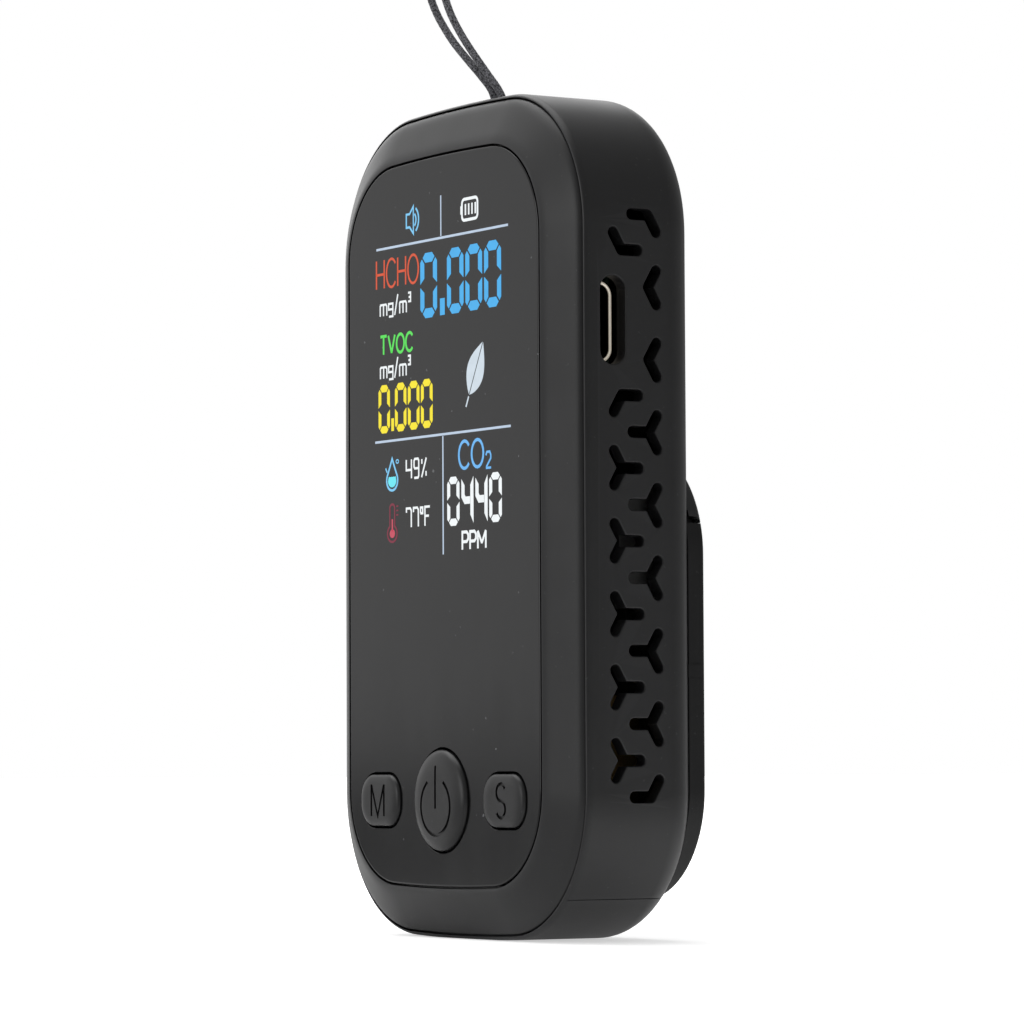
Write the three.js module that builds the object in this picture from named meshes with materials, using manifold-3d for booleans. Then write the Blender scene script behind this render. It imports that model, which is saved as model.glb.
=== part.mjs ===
// Pocket air quality monitor: a black plastic housing with a chamfered front frame round a dark
// display lens, three push buttons, vents down both sides, a fold-out stand on the back and a
// thin lanyard loop through the top. Millimetres, +X right seen from the front, the front faces
// -Y, +Z up, origin under the middle of the underside.
import * as THREE from 'three';
import { mergeVertices } from 'three/addons/utils/BufferGeometryUtils.js';
import Module from 'manifold-3d';

const wasm = await Module();
wasm.setup();

// ---------------------------------------------------------------- driving dimensions
const HALF_WIDTH = 26.7;
const HALF_HEIGHT = 47.05;
const CORNER = 16.2;
const CROWN_RADIUS = 293;         // the top and bottom edges are faintly crowned
const FOOT_TRIM = 0.1;            // flat taken off the crown so that the housing stands
const MIDDLE_Z = HALF_HEIGHT - FOOT_TRIM;
const LENS_FACE_Y = -9.375;
const depth = (behindLens) => LENS_FACE_Y + behindLens;

const WALL = 1.8;
const LIP_DEPTH = 2.5;            // front edge of the rear housing, behind the lens face
const BACK_DEPTH = 17.0;          // outer face of the back wall
const REAR_EDGE = 3.5;            // radius of the housing's rear edge
const GAP = 0.3;                  // clearance between neighbouring pieces

const LENS_OFFSET = -5.62;        // outlines are offsets of the housing's outer outline
const LENS_TRIM = 0.32;            // the frame is this much wider above and below the lens
const LENS_THICKNESS = 1.2;
const FRAME_OFFSET = -0.7;
const SEAT_OFFSET = -0.4;
const FRAME_BACK = 3.6;
const PLATE_BACK = 2.7;
const SKIRT_BACK = 5.6;

const BUTTON_Z = 15.45;
const BUTTON_TRAVEL = 0.5;
const POWER = { radius: 5.7, proud: 0.95 };
const SIDE_BUTTON = { x: 13.68, width: 8.7, height: 5.9, corner: 2.6, proud: 0.6 };

const PORT = { z: 67.5, y: depth(6.09), length: 9.7, width: 3.2 };
const SHELL = { length: 8.94, width: 3.2, skin: 0.3, mouthX: 23.9, innerX: 16.6 };

const VENT = { pitch: 7.92, arm: 2.1, width: 1.25 };
const FRONT_COLUMN = { y: depth(7.21), topZ: 75.21 };
const REAR_COLUMN = { y: depth(10.65), topZ: 79.17 };

const STAND = { halfWidth: 23.8, bottomZ: 4.2, topZ: 54.9, corner: 12.4, inner: 17.3, outer: 19.7 };
const HINGE = { y: depth(18.45), z: 45.2, barrel: 1.15, pin: 0.6, hole: 0.69 };
const LUG = { inner: 18.5, outer: 21.6, radius: 1.3, top: 2.3, behind: 1.2 };
const EAR_RISE = 0.7;              // the flap's outer corners reach this far above the hinge axis
// Room the flap needs under the pad above it, swept about the hinge axis: [depth, rise].
const STAND_ROOM = [[16.9, -1], [19.95, -1], [19.94, 0.3], [19.81, 0.63], [19.41, 1.15], [18.84, 1.45],
  [18.1, 1.5], [18.1, 2.15], [16.9, 2.15]];
const RIB = { lowZ: 28.9, highZ: 30.3, proud: 0.2 };

const SCREW = { x: 18.9, lowZ: 8.6, highZ: 85.2, head: 1.9, shank: 0.85, pillar: 2.3 };
const BOARD = { front: 7.85, thickness: 1.0, halfWidth: 21.4, bottomZ: 10, topZ: 84 };
const BOARD_SCREW = { x: 18, z: 33 };
const DISPLAY = { halfWidth: 15.4, halfHeight: 20.5, z: 63.3 };

const EYELET = { x: 1.12, y: depth(8.0), radius: 0.8 };
const CORD_RADIUS = 0.45;

// ---------------------------------------------------------------- solids
const toSolid = (geometry) => {
  const bare = geometry.clone();
  bare.deleteAttribute('normal');
  bare.deleteAttribute('uv');
  const merged = mergeVertices(bare, 1e-4);
  return new wasm.Manifold(new wasm.Mesh({
    numProp: 3,
    vertProperties: Float32Array.from(merged.attributes.position.array),
    triVerts: Uint32Array.from(merged.index.array),
  }));
};

const toGeometry = (solid) => {
  const mesh = solid.getMesh();
  const geometry = new THREE.BufferGeometry();
  geometry.setAttribute('position', new THREE.BufferAttribute(mesh.vertProperties, 3));
  geometry.setIndex(new THREE.BufferAttribute(mesh.triVerts, 1));
  geometry.computeVertexNormals();
  return geometry;
};

const join = (solids) => solids.reduce((sum, next) => sum.add(next));
const cut = (solid, tools) => tools.reduce((rest, tool) => rest.subtract(tool), solid);

const block = (x0, x1, y0, y1, z0, z1) => toSolid(
  new THREE.BoxGeometry(x1 - x0, y1 - y0, z1 - z0)
    .translate((x0 + x1) / 2, (y0 + y1) / 2, (z0 + z1) / 2));

// Round bar along Y, from y0 to y1.
const barY = (x, z, radius, y0, y1, sides = 24) => toSolid(
  new THREE.CylinderGeometry(radius, radius, y1 - y0, sides).translate(x, (y0 + y1) / 2, z));

const barX = (y, z, radius, x0, x1, sides = 16) => toSolid(
  new THREE.CylinderGeometry(radius, radius, x1 - x0, sides)
    .rotateZ(Math.PI / 2).translate((x0 + x1) / 2, y, z));

const barZ = (x, y, radius, z0, z1, sides = 16) => toSolid(
  new THREE.CylinderGeometry(radius, radius, z1 - z0, sides)
    .rotateX(Math.PI / 2).translate(x, y, (z0 + z1) / 2));

// Flat shape drawn in x and z, made solid from y0 to y1.
const slab = (shape, y0, y1, curveSegments = 6) => toSolid(
  new THREE.ExtrudeGeometry(shape, { depth: y1 - y0, bevelEnabled: false, curveSegments })
    .rotateX(Math.PI / 2).translate(0, y1, 0));

// Flat shape drawn in y and z, made solid from x0 to x1.
const slabX = (shape, x0, x1, curveSegments = 2) => {
  const turn = new THREE.Matrix4().makeBasis(
    new THREE.Vector3(0, 1, 0), new THREE.Vector3(0, 0, 1), new THREE.Vector3(1, 0, 0));
  return toSolid(
    new THREE.ExtrudeGeometry(shape, { depth: x1 - x0, bevelEnabled: false, curveSegments })
      .applyMatrix4(turn).translate(x0, 0, 0));
};

const roundedRect = (cx, cy, width, height, radius) => {
  const [a, b] = [width / 2 - radius, height / 2 - radius];
  const shape = new THREE.Shape();
  shape.absarc(cx + a, cy - b, radius, -Math.PI / 2, 0, false);
  shape.absarc(cx + a, cy + b, radius, 0, Math.PI / 2, false);
  shape.absarc(cx - a, cy + b, radius, Math.PI / 2, Math.PI, false);
  shape.absarc(cx - a, cy - b, radius, Math.PI, 1.5 * Math.PI, false);
  shape.closePath();
  return shape;
};

// ---------------------------------------------------------------- outlines and lofts
const CORNER_STEPS = 10;
const CROWN_STEPS = 3;

const arcPoints = (cx, cz, radius, from, to, steps) => {
  const points = [];
  for (let i = 0; i < steps; i += 1) {
    const angle = from + ((to - from) * i) / steps;
    points.push([cx + radius * Math.cos(angle), cz + radius * Math.sin(angle)]);
  }
  return points;
};

// Rounded rectangle with crowned top and bottom; every offset of it is concentric.
const HOUSING = {
  halfWidth: HALF_WIDTH, halfHeight: HALF_HEIGHT, corner: CORNER, crown: CROWN_RADIUS,
  middleZ: MIDDLE_Z, crownSteps: CROWN_STEPS,
};
const STAND_OUTLINE = {
  halfWidth: STAND.halfWidth, halfHeight: (STAND.topZ - STAND.bottomZ) / 2, corner: STAND.corner,
  crown: 2000, middleZ: (STAND.topZ + STAND.bottomZ) / 2, crownSteps: 1,
};

// The trim lowers the top and raises the bottom.
const outlinePoints = (base, offset, trim = 0) => {
  const corner = base.corner + offset;
  const crown = base.crown + offset;
  const cornerX = base.halfWidth - base.corner;
  const crownZ = base.halfHeight + offset - trim - crown;
  const cornerZ = crownZ + Math.sqrt((crown - corner) ** 2 - cornerX ** 2);
  const lean = Math.asin(cornerX / (crown - corner));
  const quarter = Math.PI / 2;
  const upper = [
    ...arcPoints(cornerX, cornerZ, corner, 0, quarter - lean, CORNER_STEPS),
    ...arcPoints(0, crownZ, crown, quarter - lean, quarter + lean, base.crownSteps),
    ...arcPoints(-cornerX, cornerZ, corner, quarter + lean, 2 * quarter, CORNER_STEPS),
    [-cornerX - corner, cornerZ],
  ];
  const lower = upper.map(([x, z]) => [-x, -z]);
  return [...upper, ...lower].map(([x, z]) => [x, z + base.middleZ]);
};

// Closed skin through rings of [x, y, z] points that run anticlockwise seen from the front;
// the rings go from front to back.
const skin = (rings) => {
  const count = rings[0].length;
  const index = [];
  for (let k = 0; k + 1 < rings.length; k += 1) {
    for (let i = 0; i < count; i += 1) {
      const j = (i + 1) % count;
      const [a, b, c, d] = [k * count + i, k * count + j, (k + 1) * count + j, (k + 1) * count + i];
      index.push(a, b, c, a, c, d);
    }
  }
  const last = (rings.length - 1) * count;
  for (let i = 1; i + 1 < count; i += 1) {
    index.push(0, i + 1, i);
    index.push(last, last + i, last + i + 1);
  }
  const geometry = new THREE.BufferGeometry();
  geometry.setAttribute('position', new THREE.Float32BufferAttribute(rings.flat(2), 3));
  geometry.setIndex(index.reverse());
  return toSolid(geometry);
};

// Housing or stand solid; each section is [offset, depth behind the lens face, trim].
const loft = (base, sections) => skin(sections.map(([offset, behind, trim]) =>
  outlinePoints(base, offset, trim).map(([x, z]) => [x, depth(behind), z])));

const trimmed = (sections, trimAt) => sections.map(([offset, behind]) => [offset, behind, trimAt(offset)]);

// Sections of a quarter-round edge of the given radius that ends flat at the given depth.
const roundedBack = (radius, backDepth, steps) => {
  const sections = [];
  for (let i = 0; i <= steps; i += 1) {
    const angle = (i / steps) * (Math.PI / 2);
    sections.push([-radius * (1 - Math.cos(angle)), backDepth - radius * (1 - Math.sin(angle))]);
  }
  return sections;
};

// ---------------------------------------------------------------- side vents
const ARM_ANGLES = { rear: 0, upRear: 60, upFront: 120, front: 180, downFront: 240, downRear: 300 };
const FRONT_Y = ['rear', 'upFront', 'downFront'];
const REAR_Y = ['front', 'upRear', 'downRear'];

// One arm of a Y-shaped slot: a round-ended slot from the slot's middle outwards.
const ventArm = (name) => {
  const radius = VENT.width / 2;
  const shape = new THREE.Shape();
  shape.absarc(0, 0, radius, Math.PI / 2, 1.5 * Math.PI, false);
  shape.absarc(VENT.arm, 0, radius, -Math.PI / 2, Math.PI / 2, false);
  shape.closePath();
  const turned = slabX(shape, HALF_WIDTH - WALL - 1, HALF_WIDTH + 1);
  return turned.rotate([ARM_ANGLES[name], 0, 0]);
};
const ARMS = Object.fromEntries(Object.keys(ARM_ANGLES).map((name) => [name, ventArm(name)]));

const ventColumn = (column, rows) => rows.flatMap((arms, row) => arms.map(
  (name) => ARMS[name].translate([0, column.y, column.topZ - row * VENT.pitch])));

// The port takes the place of the front column's second slot on the right side.
const rightVents = () => join([
  ...ventColumn(FRONT_COLUMN, [['rear', 'upFront'], [], ['rear', 'downFront'],
    FRONT_Y, FRONT_Y, FRONT_Y, FRONT_Y, FRONT_Y]),
  ...ventColumn(REAR_COLUMN, [['front', 'downRear'], ['upRear', 'downRear'], ['upRear', 'downRear'],
    REAR_Y, REAR_Y, REAR_Y, REAR_Y, REAR_Y, ['front', 'upRear']]),
]);

const leftVents = () => join([
  ...ventColumn(FRONT_COLUMN, [['rear', 'upFront'], FRONT_Y, FRONT_Y, FRONT_Y, FRONT_Y, FRONT_Y,
    FRONT_Y, FRONT_Y]),
  ...ventColumn(REAR_COLUMN, [['front', 'downRear'], REAR_Y, REAR_Y, REAR_Y, REAR_Y, REAR_Y,
    REAR_Y, REAR_Y, ['front', 'upRear']]),
]).mirror([1, 0, 0]);

// ---------------------------------------------------------------- housing
const SCREW_SEATS = [-1, 1].flatMap((side) => [SCREW.lowZ, SCREW.highZ]
  .map((z) => ({ x: side * SCREW.x, z })));

// Room below the pad for the stand's upper edge to turn in, with a deeper notch by the back wall.
const standRoom = () => {
  const shape = new THREE.Shape(STAND_ROOM.map(([behind, rise]) =>
    new THREE.Vector2(depth(behind), HINGE.z + rise)));
  return slabX(shape, -30, 30);
};

const rearHousing = () => {
  const outer = loft(HOUSING, [[SEAT_OFFSET, LIP_DEPTH], [-0.22, LIP_DEPTH + 0.12],
    [-0.08, LIP_DEPTH + 0.38], [0, LIP_DEPTH + 0.85], ...roundedBack(REAR_EDGE, BACK_DEPTH, 5)])
    .intersect(block(-30, 30, -20, 20, 0, 100));
  const cavity = loft(HOUSING, [[-WALL, 0], ...roundedBack(1.6, BACK_DEPTH - WALL, 3)
    .map(([offset, behind]) => [offset - WALL, behind])]);
  const frameSeat = loft(HOUSING, [[SEAT_OFFSET, 0], [SEAT_OFFSET, FRAME_BACK + GAP]]);
  const standPad = loft(STAND_OUTLINE, [[0, 15.6], [0, STAND.outer - 0.5], [-0.15, STAND.outer - 0.15],
    [-0.5, STAND.outer]]).intersect(block(-30, 30, -20, 20, HINGE.z, 60)).subtract(standRoom());
  const lugs = [-1, 1].map((side) => {
    const [x0, x1] = side > 0 ? [LUG.inner, LUG.outer] : [-LUG.outer, -LUG.inner];
    return block(x0, x1, depth(16), HINGE.y, HINGE.z - LUG.radius, HINGE.z + LUG.top)
      .add(barX(HINGE.y, HINGE.z, LUG.radius, x0, x1, 20))
      .add(block(x0, x1, depth(16), HINGE.y + LUG.behind, HINGE.z, HINGE.z + LUG.top));
  });
  const bosses = SCREW_SEATS.map(({ x, z }) => barY(x, z, 3.2, depth(13.2), depth(15.6)));
  const eyeletBlock = block(-4, 4, EYELET.y - 2, EYELET.y + 2, 88.4, 92.6);
  const eyeletCuts = [-1, 1].map((side) => barZ(side * EYELET.x, EYELET.y, EYELET.radius, 89.7, 95));
  const eyeletTunnel = block(-EYELET.x, EYELET.x, EYELET.y - 0.7, EYELET.y + 0.7, 89.7, 91.4);
  const screwCuts = SCREW_SEATS.flatMap(({ x, z }) => [
    barY(x, z, SCREW.head + 0.25, depth(15.5), depth(18), 20),
    barY(x, z, SCREW.shank + GAP, depth(13), depth(16), 12),
  ]);
  const portSlot = slabX(roundedRect(PORT.y, PORT.z, PORT.width, PORT.length, PORT.width / 2 - 0.01),
    HALF_WIDTH - WALL - 1, HALF_WIDTH + 1, 6);
  const pinHole = barX(HINGE.y, HINGE.z, HINGE.hole, -LUG.outer - 1, LUG.outer + 1);
  const insideParts = join([...bosses, eyeletBlock]).intersect(outer);
  return cut(join([cut(outer, [cavity, frameSeat]), insideParts, standPad, ...lugs]),
    [rightVents(), leftVents(), portSlot, eyeletTunnel, ...eyeletCuts, ...screwCuts, pinHole]);
};

const sideButtonShape = (side, grow) => roundedRect(side * SIDE_BUTTON.x, BUTTON_Z,
  SIDE_BUTTON.width + 2 * grow, SIDE_BUTTON.height + 2 * grow, SIDE_BUTTON.corner + grow);

// Clearance holes for the three buttons, from y0 to y1.
const buttonHoles = (y0, y1, grow) => join([
  barY(0, BUTTON_Z, POWER.radius + grow, y0, y1, 40),
  slab(sideButtonShape(-1, grow), y0, y1, 5),
  slab(sideButtonShape(1, grow), y0, y1, 5),
]);

const lensTrim = () => LENS_TRIM;

// Sloping face of the frame from the lens to the groove along the housing: [offset, depth].
const BEZEL = [[-5.42, 0.05], [-4.9, 0.14], [-4.3, 0.42], [-3.4, 0.93], [-2.4, 1.52], [-1.75, 1.94],
  [-1.38, 2.24], [-1.07, 2.6], [-0.83, 3.03], [FRAME_OFFSET, 3.4], [FRAME_OFFSET, FRAME_BACK]];
const BEZEL_WIDTH = FRAME_OFFSET - BEZEL[0][0];

const frontFrame = () => {
  const bezelTrim = (offset) => LENS_TRIM * Math.min(1, (FRAME_OFFSET - offset) / BEZEL_WIDTH);
  const outer = loft(HOUSING, trimmed(BEZEL, bezelTrim));
  const pocket = loft(HOUSING, trimmed([[LENS_OFFSET + 0.25, -1],
    [LENS_OFFSET + 0.25, LENS_THICKNESS + GAP]], lensTrim));
  const hollow = loft(HOUSING, [[-3.3, PLATE_BACK], [-3.3, SKIRT_BACK + 1]]);
  const skirt = loft(HOUSING, [[-WALL - GAP, FRAME_BACK - 0.4], [-WALL - GAP, SKIRT_BACK]]);
  const pillars = SCREW_SEATS.map(({ x, z }) => barY(x, z, SCREW.pillar, depth(2), depth(12.9), 20));
  const boardPillars = [-1, 1].map((side) => barY(side * BOARD_SCREW.x, BOARD_SCREW.z, 1.9,
    depth(2), depth(BOARD.front - GAP), 16));
  const pillarHoles = SCREW_SEATS.map(({ x, z }) => barY(x, z, SCREW.shank + GAP,
    depth(6.5), depth(14), 12));
  const boardHoles = [-1, 1].map((side) => barY(side * BOARD_SCREW.x, BOARD_SCREW.z, 1.0,
    depth(4.5), depth(9), 12));
  const window = slab(roundedRect(0, DISPLAY.z, 2 * DISPLAY.halfWidth, 2 * DISPLAY.halfHeight, 0.8),
    depth(0), depth(4), 3);
  const shell = cut(outer.add(skirt), [pocket, hollow]);
  const portNotch = block(20, 30, depth(3.9), depth(7), PORT.z - 5.2, PORT.z + 5.2);
  return cut(join([shell, ...pillars, ...boardPillars]),
    [window, portNotch, buttonHoles(depth(0), depth(4), 0.25), ...pillarHoles, ...boardHoles]);
};

const displayLens = () => cut(
  loft(HOUSING, trimmed([[LENS_OFFSET - 0.12, 0], [LENS_OFFSET, 0.14],
    [LENS_OFFSET, LENS_THICKNESS]], lensTrim)),
  [buttonHoles(depth(-1), depth(2), 0.22)]);

// ---------------------------------------------------------------- buttons
const CAP_BACK = 3.0;             // depths of the retaining flange behind the frame's plate
const FLANGE_BACK = 3.8;

// Domed cap with a retaining flange; each crown section is [inset from the side, share of proud].
const CAP_CROWN = [[0.42, 1], [0.25, 0.93], [0.1, 0.72], [0.03, 0.45], [0, 0.1]];

const cap = (ringAt, reach, proud) => {
  const rings = CAP_CROWN.map(([inset, share]) => [-inset * reach, -proud * share]);
  rings.push([0, CAP_BACK], [0.9, CAP_BACK + 0.01], [0.9, FLANGE_BACK]);
  return skin(rings.map(([grow, behind]) => ringAt(grow).map(([x, z]) => [x, depth(behind), z])));
};

const powerButton = () => cap((grow) => arcPoints(0, BUTTON_Z, POWER.radius + grow, 0,
  2 * Math.PI, 36), POWER.radius, POWER.proud);

const sideButton = (side) => cap((grow) => sideButtonShape(side, grow).getPoints(3)
  .slice(0, -1).map((point) => [point.x, point.y]), SIDE_BUTTON.height, SIDE_BUTTON.proud);

// A tact switch stands on the board behind each button; its plunger moves with the button.
const SWITCH = { half: 2.6, front: 5.2, plunger: 1.7, plungerFront: 4.1, plungerBack: 5.9 };

const switchBody = (x) => block(x - SWITCH.half, x + SWITCH.half, depth(SWITCH.front),
  depth(BOARD.front - GAP), BUTTON_Z - SWITCH.half, BUTTON_Z + SWITCH.half)
  .subtract(barY(x, BUTTON_Z, SWITCH.plunger + 0.12, depth(SWITCH.front) - 1,
    depth(SWITCH.plungerBack) + BUTTON_TRAVEL + 0.2, 16));
const switchPlunger = (x) => barY(x, BUTTON_Z, SWITCH.plunger, depth(SWITCH.plungerFront),
  depth(SWITCH.plungerBack), 16);

// ---------------------------------------------------------------- stand
const kickstand = () => {
  const barrelEnd = LUG.inner - GAP;
  const earStart = LUG.outer + GAP;
  const panel = loft(STAND_OUTLINE, [[0, STAND.inner], [0, STAND.outer - 0.5],
    [-0.15, STAND.outer - 0.15], [-0.5, STAND.outer]]);
  const extent = block(-30, 30, -20, 20, 0, HINGE.z).add(block(-30, -earStart, -20, 20, 0,
    HINGE.z + EAR_RISE)).add(block(earStart, 30, -20, 20, 0, HINGE.z + EAR_RISE));
  const flap = panel.intersect(extent);
  const barrel = barX(HINGE.y, HINGE.z, HINGE.barrel, -barrelEnd, barrelEnd, 20);
  const ribs = [-1, 1].map((side) => {
    const [x0, x1] = side > 0 ? [STAND.halfWidth - 1, STAND.halfWidth + RIB.proud]
      : [-STAND.halfWidth - RIB.proud, 1 - STAND.halfWidth];
    return block(x0, x1, depth(STAND.inner), depth(STAND.outer - 0.4), RIB.lowZ, RIB.highZ);
  });
  const lugRoom = [-1, 1].map((side) => {
    const [x0, x1] = side > 0 ? [barrelEnd, earStart] : [-earStart, -barrelEnd];
    return block(x0, x1, -20, 20, HINGE.z - 1.7, 60);
  });
  const nailScoop = block(-7, 7, depth(STAND.inner) - 1, depth(STAND.inner) + 0.8, 0,
    STAND.bottomZ + 2);
  const pinHole = barX(HINGE.y, HINGE.z, HINGE.hole, -earStart, earStart);
  return cut(join([flap, barrel, ...ribs]), [...lugRoom, nailScoop, pinHole]);
};

const hingePin = () => barX(HINGE.y, HINGE.z, HINGE.pin, -LUG.outer + 0.2, LUG.outer - 0.2, 12);

// ---------------------------------------------------------------- fasteners
// Screw along Y: lathe profile of pan head and shank, with a cross recess in the head.
const screw = (x, z, headFace, headRadius, headHeight, shankRadius, tip) => {
  const profile = [[0, tip], [shankRadius * 0.6, tip], [shankRadius, tip + 0.4],
    [shankRadius, headFace - headHeight], [headRadius, headFace - headHeight],
    [headRadius, headFace - 0.3], [headRadius - 0.35, headFace], [0, headFace]]
    .map(([radius, y]) => new THREE.Vector2(radius, y));
  const body = toSolid(new THREE.LatheGeometry(profile, 14).translate(x, 0, z));
  const reach = headRadius * 0.6;
  const recess = [
    block(x - reach, x + reach, headFace - 0.5, headFace + 1, z - 0.22, z + 0.22),
    block(x - 0.22, x + 0.22, headFace - 0.5, headFace + 1, z - reach, z + reach),
  ];
  return cut(body, recess);
};
const housingScrew = ({ x, z }) => screw(x, z, depth(16.7), SCREW.head, 0.9, SCREW.shank, depth(7.2));
const boardScrew = (side) => screw(side * BOARD_SCREW.x, BOARD_SCREW.z,
  depth(BOARD.front + BOARD.thickness + 1.3), 1.6, 1.0, 0.7, depth(5));

// ---------------------------------------------------------------- electronics
const BOARD_BACK = depth(BOARD.front + BOARD.thickness);

const circuitBoard = () => {
  const height = BOARD.topZ - BOARD.bottomZ;
  const blank = slab(roundedRect(0, BOARD.bottomZ + height / 2, 2 * BOARD.halfWidth, height, 8),
    depth(BOARD.front), BOARD_BACK, 4);
  const notches = SCREW_SEATS.map(({ x, z }) => barY(x, z, SCREW.pillar + 0.5,
    depth(BOARD.front) - 1, BOARD_BACK + 1, 16));
  const screwHoles = [-1, 1].map((side) => barY(side * BOARD_SCREW.x, BOARD_SCREW.z, 1.05,
    depth(BOARD.front) - 1, BOARD_BACK + 1, 12));
  return cut(blank, [...notches, ...screwHoles]);
};

const lcdModule = () => block(-16.2, 16.2, depth(PLATE_BACK + GAP), depth(5.3), 37.6, 84.8);

// Flat cable: out of the display's lower edge, round and back up to the board.
const lcdFlex = () => {
  const [front, back, fold, top] = [depth(4.6), depth(7.5), 34.2, 37.2];
  const radius = (back - front) / 2;
  const shape = new THREE.Shape();
  shape.moveTo(front, top);
  shape.absarc((front + back) / 2, fold, radius, Math.PI, 2 * Math.PI, false);
  shape.lineTo(back, 40.5);
  shape.lineTo(back - GAP, 40.5);
  shape.absarc((front + back) / 2, fold, radius - GAP, 2 * Math.PI, Math.PI, true);
  shape.lineTo(front + GAP, top);
  shape.closePath();
  return slabX(shape, -6, 6, 6);
};

const portShell = () => {
  const outline = (shrink) => roundedRect(PORT.y, PORT.z, SHELL.width - 2 * shrink,
    SHELL.length - 2 * shrink, SHELL.width / 2 - shrink - 0.02);
  return slabX(outline(0), SHELL.innerX, SHELL.mouthX, 5)
    .subtract(slabX(outline(SHELL.skin), SHELL.innerX + 0.8, SHELL.mouthX + 1, 5));
};
const portTongue = () => block(SHELL.innerX + 1.1, SHELL.mouthX - 0.7, PORT.y - 0.35, PORT.y + 0.35,
  PORT.z - 3.3, PORT.z + 3.3);

const BATTERY = { x0: -19, x1: 10.5, z0: 40.5, z1: 76, back: 14.1 };
const battery = () => slab(roundedRect((BATTERY.x0 + BATTERY.x1) / 2, (BATTERY.z0 + BATTERY.z1) / 2,
  BATTERY.x1 - BATTERY.x0, BATTERY.z1 - BATTERY.z0, 1.5), BOARD_BACK + GAP, depth(BATTERY.back), 3);
const batteryFoam = () => block(-16, 8, depth(BATTERY.back + GAP), depth(14.9), 44, 72);
const batteryConnector = () => block(-8, -2, BOARD_BACK + GAP, BOARD_BACK + 3.6, 27.5, 31.5);

// One battery wire from the cell's lower edge down to the connector, as a tube on a curve.
const batteryLead = (x, bow) => {
  const route = new THREE.CatmullRomCurve3([
    new THREE.Vector3(x, BOARD_BACK + 2.4, BATTERY.z0 - GAP),
    new THREE.Vector3(x + bow * 0.4, BOARD_BACK + 2.4, BATTERY.z0 - 2.5),
    new THREE.Vector3(x + bow, BOARD_BACK + 2.2, BATTERY.z0 - 5),
    new THREE.Vector3(x + bow * 0.5, BOARD_BACK + 2.0, 33.4),
    new THREE.Vector3(x, BOARD_BACK + 2.0, 31.5 + GAP),
  ]);
  return tube(route, 0.45, 16, 8);
};

const tube = (route, radius, steps, sides) => {
  const section = new THREE.Shape();
  for (let i = 0; i < sides; i += 1) {
    const angle = (2 * Math.PI * i) / sides;
    const [x, y] = [radius * Math.cos(angle), radius * Math.sin(angle)];
    if (i === 0) section.moveTo(x, y); else section.lineTo(x, y);
  }
  section.closePath();
  return toSolid(new THREE.ExtrudeGeometry(section, { steps, extrudePath: route, bevelEnabled: false }));
};

const onBoardBack = (x0, x1, height, z0, z1) =>
  block(x0, x1, BOARD_BACK + GAP, BOARD_BACK + GAP + height, z0, z1);
const onBoardFront = (x0, x1, height, z0, z1) =>
  block(x0, x1, depth(BOARD.front - GAP) - height, depth(BOARD.front - GAP), z0, z1);

const co2Sensor = () => {
  const can = onBoardBack(7, 19.5, 4.6, 14, 27);
  const pores = [];
  for (let i = 0; i < 3; i += 1) {
    for (let j = 0; j < 3; j += 1) {
      pores.push(barY(10.5 + 2.8 * i, 17.7 + 2.8 * j, 0.5, depth(13), depth(14.5), 8));
    }
  }
  return cut(can, pores);
};
const buzzer = () => barY(-12, 79.8, 3.1, BOARD_BACK + GAP, BOARD_BACK + 3.2, 24)
  .subtract(barY(-12, 79.8, 0.6, BOARD_BACK + 2.2, BOARD_BACK + 4, 10));

// ---------------------------------------------------------------- lanyard
// One thin cord from the left eyelet hole up, round its loop and down to the right hole; each
// point is [x, depth behind the lens face, z].
const CORD_ROUTE = [
  [-1.05, 8.0, 92.4], [-1.05, 8.0, 94.2], [-1.2, 7.6, 96], [-2.1, 6.72, 97.8],
  [-3.25, 5.84, 99.5], [-5.1, 4.88, 101.9], [-6.1, 4.28, 103.6], [-6.85, 3.69, 105.3],
  [-7.45, 3.25, 107.1], [-8.9, 2.45, 112], [-10.4, 1.85, 118], [-11.5, 1.55, 124],
  [-12.1, 1.45, 129.5], [-11.6, 1.45, 133], [-9.7, 1.45, 135], [-7.8, 1.45, 133],
  [-7.2, 1.45, 129.5], [-7.1, 1.55, 124], [-6.7, 1.85, 118], [-5.95, 2.5, 112],
  [-4.85, 3.55, 107], [-4.22, 4.01, 104.9], [-3.34, 4.67, 102.8], [-2.2, 5.5, 100.6],
  [-0.69, 6.66, 97.9], [0.48, 7.55, 95.8], [1.0, 8.0, 94], [1.0, 8.0, 92.4],
];
const lanyardCord = () => tube(new THREE.CatmullRomCurve3(
  CORD_ROUTE.map(([x, behind, z]) => new THREE.Vector3(x, depth(behind), z))), CORD_RADIUS, 56, 8);

// ---------------------------------------------------------------- assembly
const BLACK = { color: 0x17181a, roughness: 0.42, metalness: 0 };
const GLOSS = { color: 0x0b0c0e, roughness: 0.08, metalness: 0 };
const STEEL = { color: 0xb9bcc0, roughness: 0.28, metalness: 1 };
const DARK_STEEL = { color: 0x3a3b3d, roughness: 0.35, metalness: 1 };
const BOARD_GREEN = { color: 0x0f4a2c, roughness: 0.45, metalness: 0 };
const CHIP = { color: 0x141414, roughness: 0.55, metalness: 0 };
const SENSOR_GREY = { color: 0xa9aaa8, roughness: 0.6, metalness: 0 };

const monitor = new THREE.Group();
const add = (name, solid, look) => {
  const mesh = new THREE.Mesh(toGeometry(solid), new THREE.MeshStandardMaterial(look));
  mesh.name = name;
  monitor.add(mesh);
};

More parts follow.
